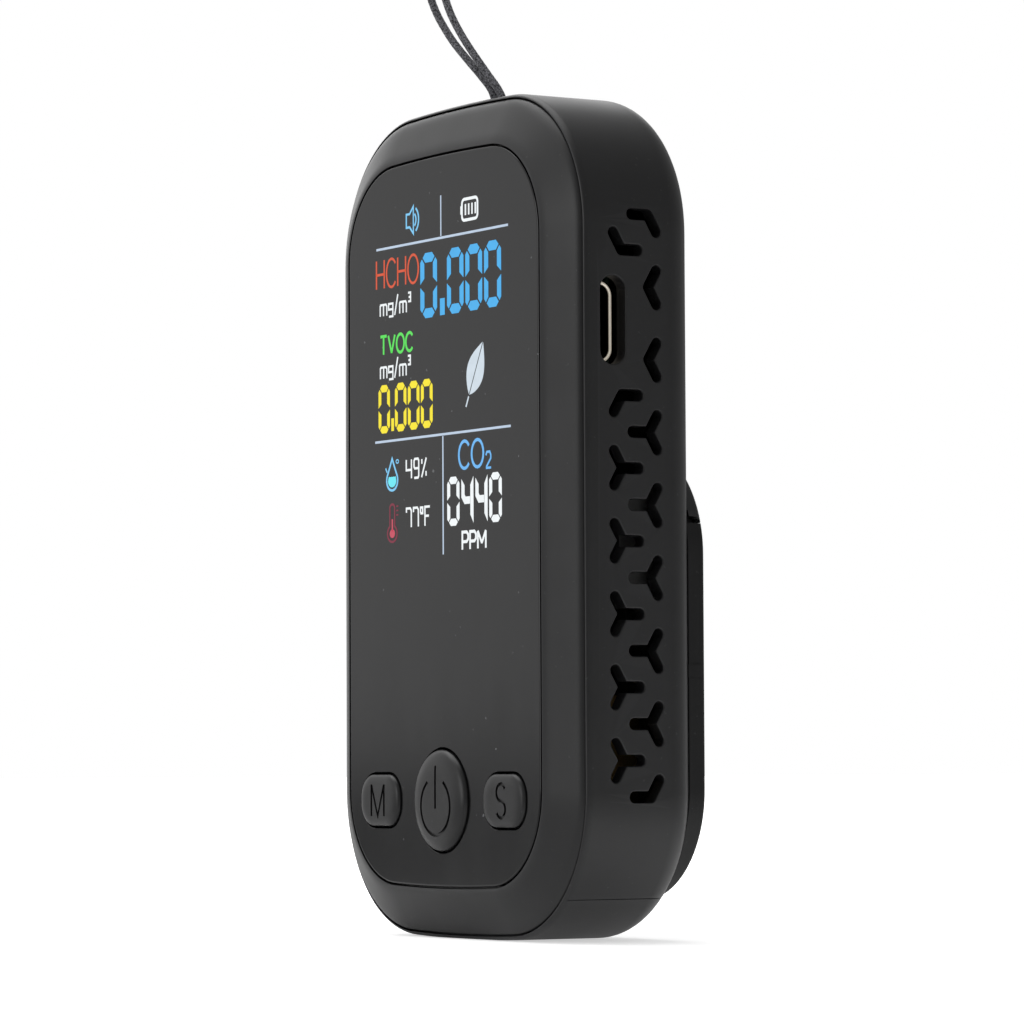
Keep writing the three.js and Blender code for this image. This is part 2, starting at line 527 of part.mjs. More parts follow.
add('rear_housing', rearHousing(), BLACK);
add('front_frame', frontFrame(), BLACK);
add('display_lens', displayLens(), GLOSS);
add('power_button', powerButton(), BLACK);
add('mode_button', sideButton(-1), BLACK);
add('set_button', sideButton(1), BLACK);
[['power', 0], ['mode', -SIDE_BUTTON.x], ['set', SIDE_BUTTON.x]].forEach(([name, x]) => {
  add(`${name}_switch_body`, switchBody(x), CHIP);
  add(`${name}_switch_plunger`, switchPlunger(x), SENSOR_GREY);
});
add('kickstand', kickstand(), BLACK);
add('kickstand_hinge_pin', hingePin(), STEEL);
['lower_left', 'upper_left', 'lower_right', 'upper_right'].forEach((place, i) => {
  add(`housing_screw_${place}`, housingScrew(SCREW_SEATS[i]), DARK_STEEL);
});
add('board_screw_left', boardScrew(-1), STEEL);
add('board_screw_right', boardScrew(1), STEEL);
add('main_circuit_board', circuitBoard(), BOARD_GREEN);
add('lcd_module', lcdModule(), CHIP);
add('lcd_flex_cable', lcdFlex(), { color: 0xb06a1e, roughness: 0.5, metalness: 0 });
add('charging_port_shell', portShell(), STEEL);
add('charging_port_tongue', portTongue(), CHIP);
add('battery_cell', battery(), { color: 0xc9ccd0, roughness: 0.35, metalness: 0.6 });
add('battery_foam_pad', batteryFoam(), { color: 0x2a2a2a, roughness: 0.95, metalness: 0 });
add('battery_connector', batteryConnector(), { color: 0xe8e2d2, roughness: 0.5, metalness: 0 });
add('battery_lead_positive', batteryLead(-6, -2.2), { color: 0xa01c18, roughness: 0.5, metalness: 0 });
add('battery_lead_negative', batteryLead(-4, 1.2), { color: 0x161616, roughness: 0.5, metalness: 0 });
add('formaldehyde_sensor', onBoardBack(14.5, 22.8, 4.6, 36.5, 50), SENSOR_GREY);
add('carbon_dioxide_sensor', co2Sensor(), { color: 0xc8a24a, roughness: 0.35, metalness: 0.8 });
add('organic_vapour_sensor', onBoardBack(15, 19, 1.1, 55, 59), DARK_STEEL);
add('climate_sensor', onBoardBack(16, 18.6, 0.9, 76, 78.6), CHIP);
add('alarm_buzzer', buzzer(), CHIP);
add('controller_chip', onBoardFront(-16, -9, 1.0, 24, 31), CHIP);
add('charger_chip', onBoardFront(9, 13, 0.9, 64, 68), CHIP);
add('lanyard_cord', lanyardCord(), { color: 0x222326, roughness: 0.85, metalness: 0 });

export default monitor;
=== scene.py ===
"""Looks of the pocket air quality monitor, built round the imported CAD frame. Metres."""

from math import asin, cos, hypot, pi, radians, sin, sqrt

import bmesh
import bpy
from mathutils import Matrix, Vector


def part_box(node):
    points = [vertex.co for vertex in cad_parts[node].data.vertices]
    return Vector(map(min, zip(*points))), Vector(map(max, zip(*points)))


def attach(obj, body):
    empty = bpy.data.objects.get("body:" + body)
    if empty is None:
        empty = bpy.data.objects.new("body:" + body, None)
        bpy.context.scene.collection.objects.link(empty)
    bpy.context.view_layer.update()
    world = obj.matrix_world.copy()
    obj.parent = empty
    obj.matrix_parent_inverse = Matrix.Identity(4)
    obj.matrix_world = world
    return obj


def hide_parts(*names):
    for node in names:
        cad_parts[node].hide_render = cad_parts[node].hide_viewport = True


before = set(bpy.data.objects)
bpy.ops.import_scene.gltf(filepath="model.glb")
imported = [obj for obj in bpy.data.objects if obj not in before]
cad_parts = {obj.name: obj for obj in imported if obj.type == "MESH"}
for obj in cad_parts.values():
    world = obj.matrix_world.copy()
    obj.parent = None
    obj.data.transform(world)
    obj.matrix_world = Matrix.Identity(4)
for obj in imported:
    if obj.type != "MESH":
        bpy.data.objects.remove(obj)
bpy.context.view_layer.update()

MM = 0.001

# ---- sizes, mm
def node_box(node):
    """Low and high corners of a CAD node."""
    return [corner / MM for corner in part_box(node)]


POWER_LOW, POWER_HIGH = node_box("power_button")
MODE_LOW, MODE_HIGH = node_box("mode_button")
SHELL_LOW, SHELL_HIGH = node_box("charging_port_shell")
STAND_FOOT = node_box("kickstand")[0].z
LENS_Y = node_box("display_lens")[0].y
HALF_WIDTH = node_box("rear_housing")[1].x
HALF_HEIGHT, FOOT_TRIM, CORNER, CROWN_RADIUS = 47.05, 0.1, 16.2, 293.0
WALL = 1.8
BESIDE, BEFORE = 30, 20  # distances that clear the case sideways, and to the front and back


def depth(behind):
    """y of a place the given distance behind the lens face."""
    return LENS_Y + behind


# ---- camera
AZIMUTH, ELEVATION, ROLL = radians(58.903), radians(-3.133), radians(-0.266)
CAMERA_DISTANCE = 0.536
CAMERA_AIM = Vector((2.34 * MM, depth(7.86) * MM, 47.86 * MM))
FOCAL_LENGTH = 167.2


def make_camera():
    back = Vector((sin(AZIMUTH) * cos(ELEVATION), -cos(AZIMUTH) * cos(ELEVATION), sin(ELEVATION)))
    level = Vector((cos(AZIMUTH), sin(AZIMUTH), 0))
    upright = back.cross(level)
    right = cos(ROLL) * level + sin(ROLL) * upright
    up = back.cross(right)
    camera = bpy.data.objects.new("camera", bpy.data.cameras.new("camera"))
    camera.data.lens = FOCAL_LENGTH
    camera.data.clip_start, camera.data.clip_end = 0.01, 20
    turn = Matrix((right, up, back)).transposed().to_4x4()
    camera.matrix_world = Matrix.Translation(CAMERA_AIM + back * CAMERA_DISTANCE) @ turn
    bpy.context.scene.collection.objects.link(camera)
    bpy.context.scene.camera = camera


make_camera()


# ---- materials
FINE_GRAIN, GRAIN, COARSE_GRAIN = 0.00002, 0.00003, 0.00004  # bump heights, m
LENS_IOR = 1.40


class Nodes:
    """A material's node tree with short calls for what the materials here share."""

    def __init__(self, name):
        self.material = bpy.data.materials.new(name)
        self.material.use_nodes = True
        self.tree = self.material.node_tree
        self.shader = self.tree.nodes["Principled BSDF"]
        self.place = self.tree.nodes.new("ShaderNodeTexCoord").outputs["Object"]

    def link(self, source, target):
        self.tree.links.new(source, target)

    def noise(self, scale, detail=2.0, rough=0.5, stretch=(1, 1, 1)):
        """Noise of the given scale, in features to the metre."""
        mapping = self.tree.nodes.new("ShaderNodeMapping")
        mapping.inputs["Scale"].default_value = stretch
        self.link(self.place, mapping.inputs["Vector"])
        node = self.tree.nodes.new("ShaderNodeTexNoise")
        node.inputs["Scale"].default_value = scale
        node.inputs["Detail"].default_value = detail
        node.inputs["Roughness"].default_value = rough
        self.link(mapping.outputs[0], node.inputs["Vector"])
        return node.outputs["Fac"]

    def spread(self, value, low, high, out_low=0.0, out_high=1.0):
        """The value between low and high, moved to lie between out_low and out_high."""
        node = self.tree.nodes.new("ShaderNodeMapRange")
        node.inputs["From Min"].default_value = low
        node.inputs["From Max"].default_value = high
        node.inputs["To Min"].default_value = out_low
        node.inputs["To Max"].default_value = out_high
        self.link(value, node.inputs["Value"])
        return node.outputs[0]

    def blend(self, factor, first, second):
        """Colour between two colours, each a tuple or a socket."""
        node = self.tree.nodes.new("ShaderNodeMix")
        node.data_type = "RGBA"
        self.link(factor, node.inputs["Factor"])
        for value, socket in ((first, node.inputs[6]), (second, node.inputs[7])):
            if isinstance(value, tuple):
                socket.default_value = (*value, 1)
            else:
                self.link(value, socket)
        return node.outputs[2]

    def edges(self):
        """1 along convex edges, 0 elsewhere."""
        geometry = self.tree.nodes.new("ShaderNodeNewGeometry")
        return self.spread(geometry.outputs["Pointiness"], 0.51, 0.56)

    def bump(self, *layers):
        """Each layer is (height, strength, distance); later layers ride on earlier ones."""
        normal = None
        for height, strength, distance in layers:
            node = self.tree.nodes.new("ShaderNodeBump")
            node.inputs["Strength"].default_value = strength
            node.inputs["Distance"].default_value = distance
            self.link(height, node.inputs["Height"])
            if normal:
                self.link(normal, node.inputs["Normal"])
            normal = node.outputs[0]
        self.link(normal, self.shader.inputs["Normal"])

    def drive(self, **sources):
        """Links each source to the shader's socket of that name."""
        for name, source in sources.items():
            self.link(source, self.shader.inputs[name.replace("_", " ")])

    def set(self, **values):
        """Uniform values of the shader's sockets, by name."""
        for name, value in values.items():
            self.shader.inputs[name.replace("_", " ")].default_value = value


def moulded_plastic(name, dark, light, rough, grain=0.12, ior=1.45):
    """Moulded plastic with a fine spark-eroded grain, faint dust and a painted highlight that lightens its
    convex edges.
    """
    nodes = Nodes(name)
    colour = nodes.blend(nodes.spread(nodes.noise(90, 4, 0.6), 0.35, 0.7), dark, light)
    dust = nodes.spread(nodes.noise(1700, 1, 0.4), 0.74, 0.80, 0, 0.05)
    colour = nodes.blend(dust, colour, (0.32, 0.32, 0.33))
    # painted highlight: convex edges are lightened in colour
    edge_highlight = nodes.spread(nodes.edges(), 0, 1, 0, 0.35)
    colour = nodes.blend(edge_highlight, colour, tuple(2.4 * c for c in light))
    nodes.drive(Base_Color=colour)
    patches = nodes.spread(nodes.noise(55, 3, 0.6), 0.3, 0.75, rough - 0.04, rough + 0.05)
    nodes.drive(Roughness=patches)
    nodes.bump((nodes.noise(3600, 3, 0.6), grain, GRAIN), (nodes.noise(900, 2), grain * 0.5, GRAIN))
    nodes.set(IOR=ior)
    return nodes.material


def lens_plastic():
    """Clear gloss over black, with dust specks and faint smears."""
    nodes = Nodes("lens_plastic")
    colour = nodes.blend(nodes.spread(nodes.noise(40, 3), 0.4, 0.7), (0.0035, 0.0035, 0.004),
                         (0.005, 0.005, 0.0055))
    dust = nodes.spread(nodes.noise(1400, 1, 0.4), 0.77, 0.81, 0, 0.35)
    colour = nodes.blend(dust, colour, (0.35, 0.36, 0.38))
    nodes.drive(Base_Color=colour)
    smears = nodes.spread(nodes.noise(70, 5, 0.7, (1, 1, 0.4)), 0.35, 0.75, 0.10, 0.17)
    nodes.drive(Roughness=smears)
    nodes.bump((nodes.noise(160, 2), 0.02, COARSE_GRAIN))
    nodes.set(IOR=LENS_IOR)
    return nodes.material


def glow(name, colour):
    """A lit stretch of the display, seen through the lens's glossy face."""
    nodes = Nodes(name)
    nodes.set(Base_Color=(0.004, 0.004, 0.004, 1), IOR=LENS_IOR, Emission_Strength=1.0)
    unevenness = nodes.spread(nodes.noise(900, 2), 0.3, 0.7)
    shade = nodes.blend(unevenness, tuple(0.93 * c for c in colour), colour)
    nodes.drive(Emission_Color=shade)
    nodes.drive(Roughness=nodes.spread(nodes.noise(70, 5), 0.35, 0.75, 0.12, 0.2))
    return nodes.material


def metal(name, colour, rough, brushed=(1, 1, 1)):
    """Metal with a mottled tone and fine scratches, drawn out where brushed isn't even."""
    nodes = Nodes(name)
    mottle = nodes.spread(nodes.noise(300, 4), 0.3, 0.7)
    tone = nodes.blend(mottle, tuple(0.85 * c for c in colour), colour)
    nodes.drive(Base_Color=tone)
    scratches = nodes.noise(2500, 3, 0.6, brushed)
    dulled = nodes.spread(scratches, 0.3, 0.7, rough - 0.06, rough + 0.08)
    nodes.drive(Roughness=dulled)
    nodes.bump((scratches, 0.06, FINE_GRAIN))
    nodes.set(Metallic=1.0)
    return nodes.material


def plain(name, dark, light, rough, scale=400, bump=0.1):
    """Two-tone material with a grain, for inner pieces."""
    nodes = Nodes(name)
    grain = nodes.noise(scale, 4, 0.6)
    nodes.drive(Base_Color=nodes.blend(nodes.spread(grain, 0.3, 0.7), dark, light))
    nodes.drive(Roughness=nodes.spread(grain, 0.3, 0.7, rough - 0.05, rough + 0.05))
    nodes.bump((grain, bump, GRAIN))
    return nodes.material


def port_steel_painted_light():
    """Plated steel with painted shade darkening it further in, and a painted highlight and a painted glow at
    the mouth.
    """
    nodes = Nodes("port_steel_painted_light")
    place = nodes.tree.nodes.new("ShaderNodeSeparateXYZ")
    nodes.link(nodes.place, place.inputs[0])
    painted_shade_x, painted_highlight_x = [(SHELL_HIGH.x - inside) / 1000 for inside in (0.22, 0.12)]
    # painted shade further into the port, painted highlight at its mouth
    mouth = nodes.spread(place.outputs["X"], painted_shade_x, painted_highlight_x, 0, 1)
    steel = nodes.blend(mouth, (0.05, 0.045, 0.04), (0.93, 0.88, 0.8))
    nodes.drive(Base_Color=steel)
    nodes.drive(Roughness=nodes.spread(nodes.noise(1500, 3), 0.3, 0.7, 0.28, 0.42))
    # painted glow: a faint emission at the mouth
    nodes.drive(Emission_Color=nodes.blend(mouth, (0, 0, 0), (0.3, 0.27, 0.22)))
    nodes.set(Metallic=1.0, Emission_Strength=1.0)
    return nodes.material


def cord_fibre():
    """Black yarn flecked with grey."""
    nodes = Nodes("cord_fibre")
    fibre = nodes.noise(5200, 4, 0.7)
    flecks = nodes.spread(fibre, 0.4, 0.64)
    nodes.drive(Base_Color=nodes.blend(flecks, (0.008, 0.008, 0.01), (0.3, 0.3, 0.325)))
    nodes.drive(Roughness=nodes.spread(fibre, 0.3, 0.7, 0.7, 0.95))
    nodes.bump((fibre, 0.4, COARSE_GRAIN))
    nodes.set(Sheen_Weight=0.25, Sheen_Roughness=0.4)
    return nodes.material


CASE_PLASTIC = moulded_plastic("case_plastic", (0.0065, 0.0065, 0.007), (0.0095, 0.0095, 0.0102), 0.40)
KEY_PLASTIC = moulded_plastic("key_plastic", (0.006, 0.006, 0.0065), (0.009, 0.009, 0.0095), 0.36, 0.1)
STAND_PLASTIC = moulded_plastic("stand_plastic", (0.003, 0.003, 0.0033), (0.0048, 0.0048, 0.005), 0.5,
                                ior=1.34)
LENS_PLASTIC = lens_plastic()
BLACK_STEEL = metal("black_steel", (0.05, 0.05, 0.052), 0.36)
BRIGHT_STEEL = metal("bright_steel", (0.60, 0.57, 0.53), 0.24, (1, 1, 0.1))
PORT_STEEL_PAINTED_LIGHT = port_steel_painted_light()
CORD_FIBRE = cord_fibre()


# ---- mesh helpers
REPLACED = set()


def link_piece(name, mesh, body, material, replaces=(), smooth=32):
    """Object of a mesh that rides a body; edges sharper than the smooth angle, in degrees, stay sharp."""
    piece = bpy.data.objects.new(name, mesh)
    bpy.context.scene.collection.objects.link(piece)
    mesh.materials.clear()
    mesh.materials.append(material)
    mesh.shade_smooth()
    mesh.set_sharp_from_angle(angle=radians(smooth))
    weigh = piece.modifiers.new("weighted_normals", "WEIGHTED_NORMAL")
    weigh.mode, weigh.keep_sharp, weigh.weight = "FACE_AREA", True, 50
    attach(piece, body)
    if replaces:
        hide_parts(*replaces)
        REPLACED.update(replaces)
    return piece


def mesh_from(name, points, faces):
    """Mesh from points in mm."""
    mesh = bpy.data.meshes.new(name)
    mesh.from_pydata([tuple(c * MM for c in point) for point in points], [], faces)
    mesh.update()
    return mesh


def tidy(mesh):
    """Normals outwards."""
    work = bmesh.new()
    work.from_mesh(mesh)
    bmesh.ops.recalc_face_normals(work, faces=work.faces)
    work.to_mesh(mesh)
    work.free()
    return mesh


def skin(name, rings):
    """Closed mesh through equal rings of (x, y, z) points in mm."""
    count = len(rings[0])
    points = [point for ring in rings for point in ring]
    faces = []
    for k in range(len(rings) - 1):
        for i in range(count):
            j = (i + 1) % count
            faces.append((k * count + i, k * count + j, (k + 1) * count + j, (k + 1) * count + i))
    last = (len(rings) - 1) * count
    faces.append(tuple(range(count))[::-1])
    faces.append(tuple(range(last, last + count)))
    return tidy(mesh_from(name, points, faces))


def combined(name, meshes):
    """One mesh of several that don't touch."""
    work = bmesh.new()
    for mesh in meshes:
        work.from_mesh(mesh)
        bpy.data.meshes.remove(mesh)
    mesh = bpy.data.meshes.new(name)
    work.to_mesh(mesh)
    work.free()
    return mesh


def boolean(target, tool, operation="DIFFERENCE"):
    """The target mesh joined with, cut by or kept inside the tool mesh."""
    first = bpy.data.objects.new("target", target)
    second = bpy.data.objects.new("tool", tool)
    for thing in (first, second):
        bpy.context.scene.collection.objects.link(thing)
    change = first.modifiers.new("boolean", "BOOLEAN")
    change.operation, change.solver, change.object = operation, "MANIFOLD", second
    depsgraph = bpy.context.evaluated_depsgraph_get()
    result = bpy.data.meshes.new_from_object(first.evaluated_get(depsgraph))
    for thing in (first, second):
        bpy.data.objects.remove(thing)
    for mesh in (target, tool):
        bpy.data.meshes.remove(mesh)
    return result


def cut(mesh, *tools):
    for tool in tools:
        mesh = boolean(mesh, tool)
    return mesh


def arc(cx, cz, radius, start, end, steps, closed=False):
    """Points from the start angle towards the end angle, which they reach if closed."""
    angles = [start + (end - start) * i / steps for i in range(steps + (1 if closed else 0))]
    return [(cx + radius * cos(angle), cz + radius * sin(angle)) for angle in angles]


def loft(name, shape, sections):
    """Solid of the outlines shape(grow), in x and z; each section is (grow, depth)."""
    return skin(name, [[(x, depth(behind), z) for x, z in shape(grow)] for grow, behind in sections])


class Outline:
    """Rounded rectangle with faintly crowned top and bottom; its offsets are concentric."""

    def __init__(self, half_width, half_height, corner, crown, middle_z, steps=28):
        self.half_width, self.half_height = half_width, half_height
        self.corner, self.crown, self.middle_z, self.steps = corner, crown, middle_z, steps

    def points(self, offset=0.0, trim=0.0):
        """Points in x and z; the trim lowers the top and raises the bottom."""
        corner, crown = self.corner + offset, self.crown + offset
        corner_x = self.half_width - self.corner
        crown_z = self.half_height + offset - trim - crown
        corner_z = crown_z + sqrt((crown - corner) ** 2 - corner_x ** 2)
        lean = asin(corner_x / (crown - corner))
        upper = arc(corner_x, corner_z, corner, 0, pi / 2 - lean, self.steps)
        upper += arc(0, crown_z, crown, pi / 2 - lean, pi / 2 + lean, 8)
        upper += arc(-corner_x, corner_z, corner, pi / 2 + lean, pi, self.steps)
        upper.append((-corner_x - corner, corner_z))
        both = upper + [(-x, -z) for x, z in upper]
        return [(x, z + self.middle_z) for x, z in both]

    def loft(self, name, sections, trim_at=lambda offset: 0.0):
        return loft(name, lambda offset: self.points(offset, trim_at(offset)), sections)


HOUSING = Outline(HALF_WIDTH, HALF_HEIGHT, CORNER, CROWN_RADIUS, HALF_HEIGHT - FOOT_TRIM)


def box_mesh(x0, x1, y0, y1, z0, z1):
    ring = [(x0, z0), (x1, z0), (x1, z1), (x0, z1)]
    return skin("box", [[(x, y, z) for x, z in ring] for y in (y0, y1)])


def slab(z0, z1):
    """Box past the case on every side, between two heights."""
    return box_mesh(-BESIDE, BESIDE, -BEFORE, BEFORE, z0, z1)


def x_span(side, near, far):
    """The two distances from the middle as x on the given side, the lower first."""
    return sorted((side * near, side * far))


def prism(points, y0, y1):
    """Solid of an outline in x and z, from y0 to y1."""
    return skin("prism", [[(x, y, z) for x, z in points] for y in (y0, y1)])


def rounded_rect(cx, cz, width, height, radius, steps=10):
    a, b = width / 2 - radius, height / 2 - radius
    quarters = ((a, -b, -pi / 2, 0), (a, b, 0, pi / 2), (-a, b, pi / 2, pi), (-a, -b, pi, 1.5 * pi))
    return [point for x, z, start, end in quarters
            for point in arc(cx + x, cz + z, radius, start, end, steps, True)]


def rod_y(cx, cz, sections, steps=40):
    """Round solid along y; each section is (radius, depth)."""
    return loft("rod", lambda radius: arc(cx, cz, radius, 0, 2 * pi, steps), sections)


# ---- lanyard
CORD_DIAMETER, CORD_STEP = 0.9, 0.12
CORD_ROUTE = [
    (-1.05, 8.0, 92.4), (-1.05, 8.0, 94.2), (-1.2, 7.6, 96), (-2.1, 6.72, 97.8),
    (-3.25, 5.84, 99.5), (-5.1, 4.88, 101.9), (-6.1, 4.28, 103.6), (-6.85, 3.69, 105.3),
    (-7.45, 3.25, 107.1), (-8.9, 2.45, 112), (-10.4, 1.85, 118), (-11.5, 1.55, 124),
    (-12.1, 1.45, 129.5), (-11.6, 1.45, 133), (-9.7, 1.45, 134.83), (-7.8, 1.45, 133),
    (-7.2, 1.45, 129.5), (-7.1, 1.55, 124), (-6.7, 1.85, 118), (-5.95, 2.5, 112),
    (-4.85, 3.55, 107), (-4.22, 4.01, 104.9), (-3.34, 4.67, 102.8), (-2.2, 5.5, 100.6),
    (-0.69, 6.66, 97.9), (0.48, 7.55, 95.8), (1.0, 8.0, 94), (1.0, 8.0, 92.4),
]


def smooth_path(points, spacing):
    """Evenly spaced points on the centripetal Catmull-Rom curve through the given points."""
    ends = [2 * points[0] - points[1], *points, 2 * points[-1] - points[-2]]
    fine = []
    for p0, p1, p2, p3 in zip(ends, ends[1:], ends[2:], ends[3:]):
        t = [0.0]
        for a, b in ((p0, p1), (p1, p2), (p2, p3)):
            t.append(t[-1] + max((b - a).length, 1e-6) ** 0.5)
        for i in range(40):
            u = t[1] + (t[2] - t[1]) * i / 40
            a1 = p0.lerp(p1, u / t[1])
            a2 = p1.lerp(p2, (u - t[1]) / (t[2] - t[1]))
            a3 = p2.lerp(p3, (u - t[2]) / (t[3] - t[2]))
            b1 = a1.lerp(a2, u / t[2])
            b2 = a2.lerp(a3, (u - t[1]) / (t[3] - t[1]))
            fine.append(b1.lerp(b2, (u - t[1]) / (t[2] - t[1])))
    fine.append(points[-1])
    length = sum((b - a).length for a, b in zip(fine, fine[1:]))
    count = round(length / spacing)
    even, travelled, target = [fine[0]], 0.0, length / count
    for a, b in zip(fine, fine[1:]):
        step = (b - a).length
        while len(even) < count and travelled + step >= target * len(even):
            even.append(a.lerp(b, (target * len(even) - travelled) / step))
        travelled += step
    even.append(points[-1])
    return even, length


def braided_tube(name, path, diameter, carriers=4, pitch=1.5, sides=24, relief=0.07):
    """Round braid: two families of strands wind opposite ways and pass over each other."""
    rings = []
    side = Vector((1, 0, 0))
    for i, point in enumerate(path):
        ahead = (path[min(i + 1, len(path) - 1)] - path[max(i - 1, 0)]).normalized()
        side = (side - ahead * side.dot(ahead)).normalized()
        across = ahead.cross(side)
        along = 2 * pi * CORD_STEP * i / pitch
        ring = []
        for j in range(sides):
            angle = 2 * pi * j / sides
            left = cos(carriers * angle + along)
            right = cos(carriers * angle - along)
            height = max(abs(left), abs(right)) ** 2
            radius = diameter / 2 * (1 - relief * (1 - height) * 2)
            ring.append(tuple(point + radius * (cos(angle) * side + sin(angle) * across)))
        rings.append(ring)
    return skin(name, rings)


def make_lanyard():
    points = [Vector((x, depth(behind), z)) for x, behind, z in CORD_ROUTE]
    path, length = smooth_path(points, CORD_STEP)
    mesh = braided_tube("lanyard", path, CORD_DIAMETER)
    cord = link_piece("lanyard", mesh, "housing", CORD_FIBRE, ["lanyard_cord"], 80)
    metres = [tuple(c * MM for c in point) for point in path[::4]] + [tuple(path[-1] * MM)]
    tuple(metres[0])


make_lanyard()


# ---- vents
VENT = {"pitch": 7.92, "arm": 2.1, "radius": 0.625}
FRONT_COLUMN = {"y": depth(7.21), "top": 75.21}
REAR_COLUMN = {"y": depth(10.65), "top": 79.17}
# arms of the vents in each row from the top down, in degrees
FRONT_Y, REAR_Y = (0, 120, 240), (60, 180, 300)
RIGHT_FRONT_ROWS = [(0, 120), (), (0, 240)] + [FRONT_Y] * 5
RIGHT_REAR_ROWS = [(180, 300), (60, 300), (60, 300)] + [REAR_Y] * 5 + [(60, 180)]
LEFT_FRONT_ROWS = [(0, 120)] + [FRONT_Y] * 7
LEFT_REAR_ROWS = [(180, 300)] + [REAR_Y] * 7 + [(60, 180)]


def slot_outline(cy, cz, arms, radius, steps=8):
    """Round-ended arms that meet in the middle, as one outline in y and z; arms in degrees."""
    points = []
    for arm, after in zip(arms, arms[1:] + arms[:1]):
        angle = radians(arm)
        gap = radians((after - arm) % 360)
        tip = (cy + VENT["arm"] * cos(angle), cz + VENT["arm"] * sin(angle))
        points += arc(*tip, radius, angle - pi / 2, angle + pi / 2, steps, True)
        if gap < pi:
            reach = radius / sin(gap / 2)
            points.append((cy + reach * cos(angle + gap / 2), cz + reach * sin(angle + gap / 2)))
        else:
            points += arc(cy, cz, radius, angle + pi / 2, angle + gap - pi / 2, steps, True)
    return points


# (growth of the outline, distance outside the wall)
MOUTH = [(0.0, -3.0), (0.0, -0.16), (0.03, -0.09), (0.09, -0.03), (0.18, 0.01), (0.18, 0.6)]


def side_cutter(outline_at, side):
    """Cutter through a side wall with a softly rounded mouth; outline_at(grow) is in y and z."""
    return skin("cutter", [[(side * (HALF_WIDTH + out), y, z) for y, z in outline_at(grow)]
                           for grow, out in MOUTH])


def vent_cutters(side, front_rows, rear_rows):
    cutters = []
    for column, rows in ((FRONT_COLUMN, front_rows), (REAR_COLUMN, rear_rows)):
        for row, arms in enumerate(rows):
            if arms:
                place = (column["y"], column["top"] - row * VENT["pitch"], arms)
                cutters.append(side_cutter(lambda grow: slot_outline(*place, VENT["radius"] + grow), side))
    return cutters


# ---- housing
LIP_DEPTH, LIP_ROUND, BACK_DEPTH, REAR_EDGE, INNER_EDGE = 2.5, 0.85, 17.0, 3.5, 1.6
SEAT_OFFSET = -0.4
FRAME_BACK, GAP = 3.6, 0.3
PORT = {"y": depth(6.09), "z": (SHELL_LOW.z + SHELL_HIGH.z) / 2, "length": 9.7, "width": 3.2}
HINGE_DEPTH = 18.45
HINGE = {"y": depth(HINGE_DEPTH), "z": 45.2}
LUG = (18.5, 21.6)
LUG_RADIUS, LUG_ROOT, LUG_TOP, LUG_BEHIND = 1.3, 16, 2.3, 1.2
BARREL_RADIUS, EAR_RISE, PIN_HOLE = 1.15, 0.67, 0.69
ROOM_RADIUS, ROOM_BACK, ROOM_TOP = 1.455, 16.9, 2.15
# the room that the stand turns in: (depth, height above the hinge)
STAND_ROOM = ([(ROOM_BACK, -1), (HINGE_DEPTH + ROOM_RADIUS, -1)]
              + arc(HINGE_DEPTH, 0, ROOM_RADIUS, 0, radians(84), 7, True)
              + [(18.1, ROOM_RADIUS), (18.1, ROOM_TOP), (ROOM_BACK, ROOM_TOP)])
STAND_INNER, STAND_OUTER, STAND_EDGE = 17.3, 19.7, 0.5
STAND_OUTLINE = Outline(23.8, 25.35, 12.4, 2000, 29.55)
SCREW_SEATS = [(side * 18.9, z) for side in (-1, 1) for z in (8.6, 85.2)]
# round sections: (radius, depth)
SCREW_BOSS = [(3.2, 13.2), (3.2, 15.6)]
SCREW_HOLE = [(1.15, 13), (1.15, 15.5), (2.15, 15.51), (2.15, 16.8), (2.3, 17.01), (2.3, 18)]
EYELET_X, EYELET_Y = 1.12, depth(8.0)
# the eyelet's mouth: (radius, z)
EYELET = [(0.8, 89.7), (0.8, 93.4), (0.84, 93.55), (0.94, 93.68), (1.06, 93.75), (1.06, 95)]
# half size in x and y, then the two heights
CORD_PAD, CORD_TUNNEL = (4, 2, 88.4, 92.6), (EYELET_X, 0.7, 89.7, 91.4)
SEAM_Z, SEAM_DEPTH, SEAM_HALF = 4.7, 0.06, 0.04


def quarter_round(radius, back, steps):
    """Sections of a rounded rear edge that ends flat at the given depth."""
    return [(-radius * (1 - cos(i / steps * pi / 2)), back - radius * (1 - sin(i / steps * pi / 2)))
            for i in range(steps + 1)]


STAND_ROUND = quarter_round(STAND_EDGE, STAND_OUTER, 6)


def cord_box(half_x, half_y, low, high):
    return box_mesh(-half_x, half_x, EYELET_Y - half_y, EYELET_Y + half_y, low, high)


def eyelet_cutter(x):
    return skin("cutter", [[(px, py, z) for px, py in arc(x, EYELET_Y, radius, 0, 2 * pi, 32)]
                           for radius, z in EYELET])


def hinge_rod(radius, x0, x1):
    """Round solid on the hinge's axis."""
    ring = arc(HINGE["y"], HINGE["z"], radius, 0, 2 * pi, 40)
    return skin("rod", [[(x, y, z) for y, z in ring] for x in (x0, x1)])


def hinge_lug(side):
    """Block with a round end that holds one end of the hinge pin."""
    x0, x1 = x_span(side, *LUG)
    root, top = depth(LUG_ROOT), HINGE["z"] + LUG_TOP
    lug = boolean(box_mesh(x0, x1, root, HINGE["y"], HINGE["z"] - LUG_RADIUS, top),
                  hinge_rod(LUG_RADIUS, x0, x1), "UNION")
    return boolean(lug, box_mesh(x0, x1, root, HINGE["y"] + LUG_BEHIND, HINGE["z"], top), "UNION")


def obround(middle, width, length, grow, steps):
    """Outline of the port or its shell in y and z, grown on every side."""
    return rounded_rect(middle, PORT["z"], width + 2 * grow, length + 2 * grow, width / 2 + grow - 0.01,
                        steps)


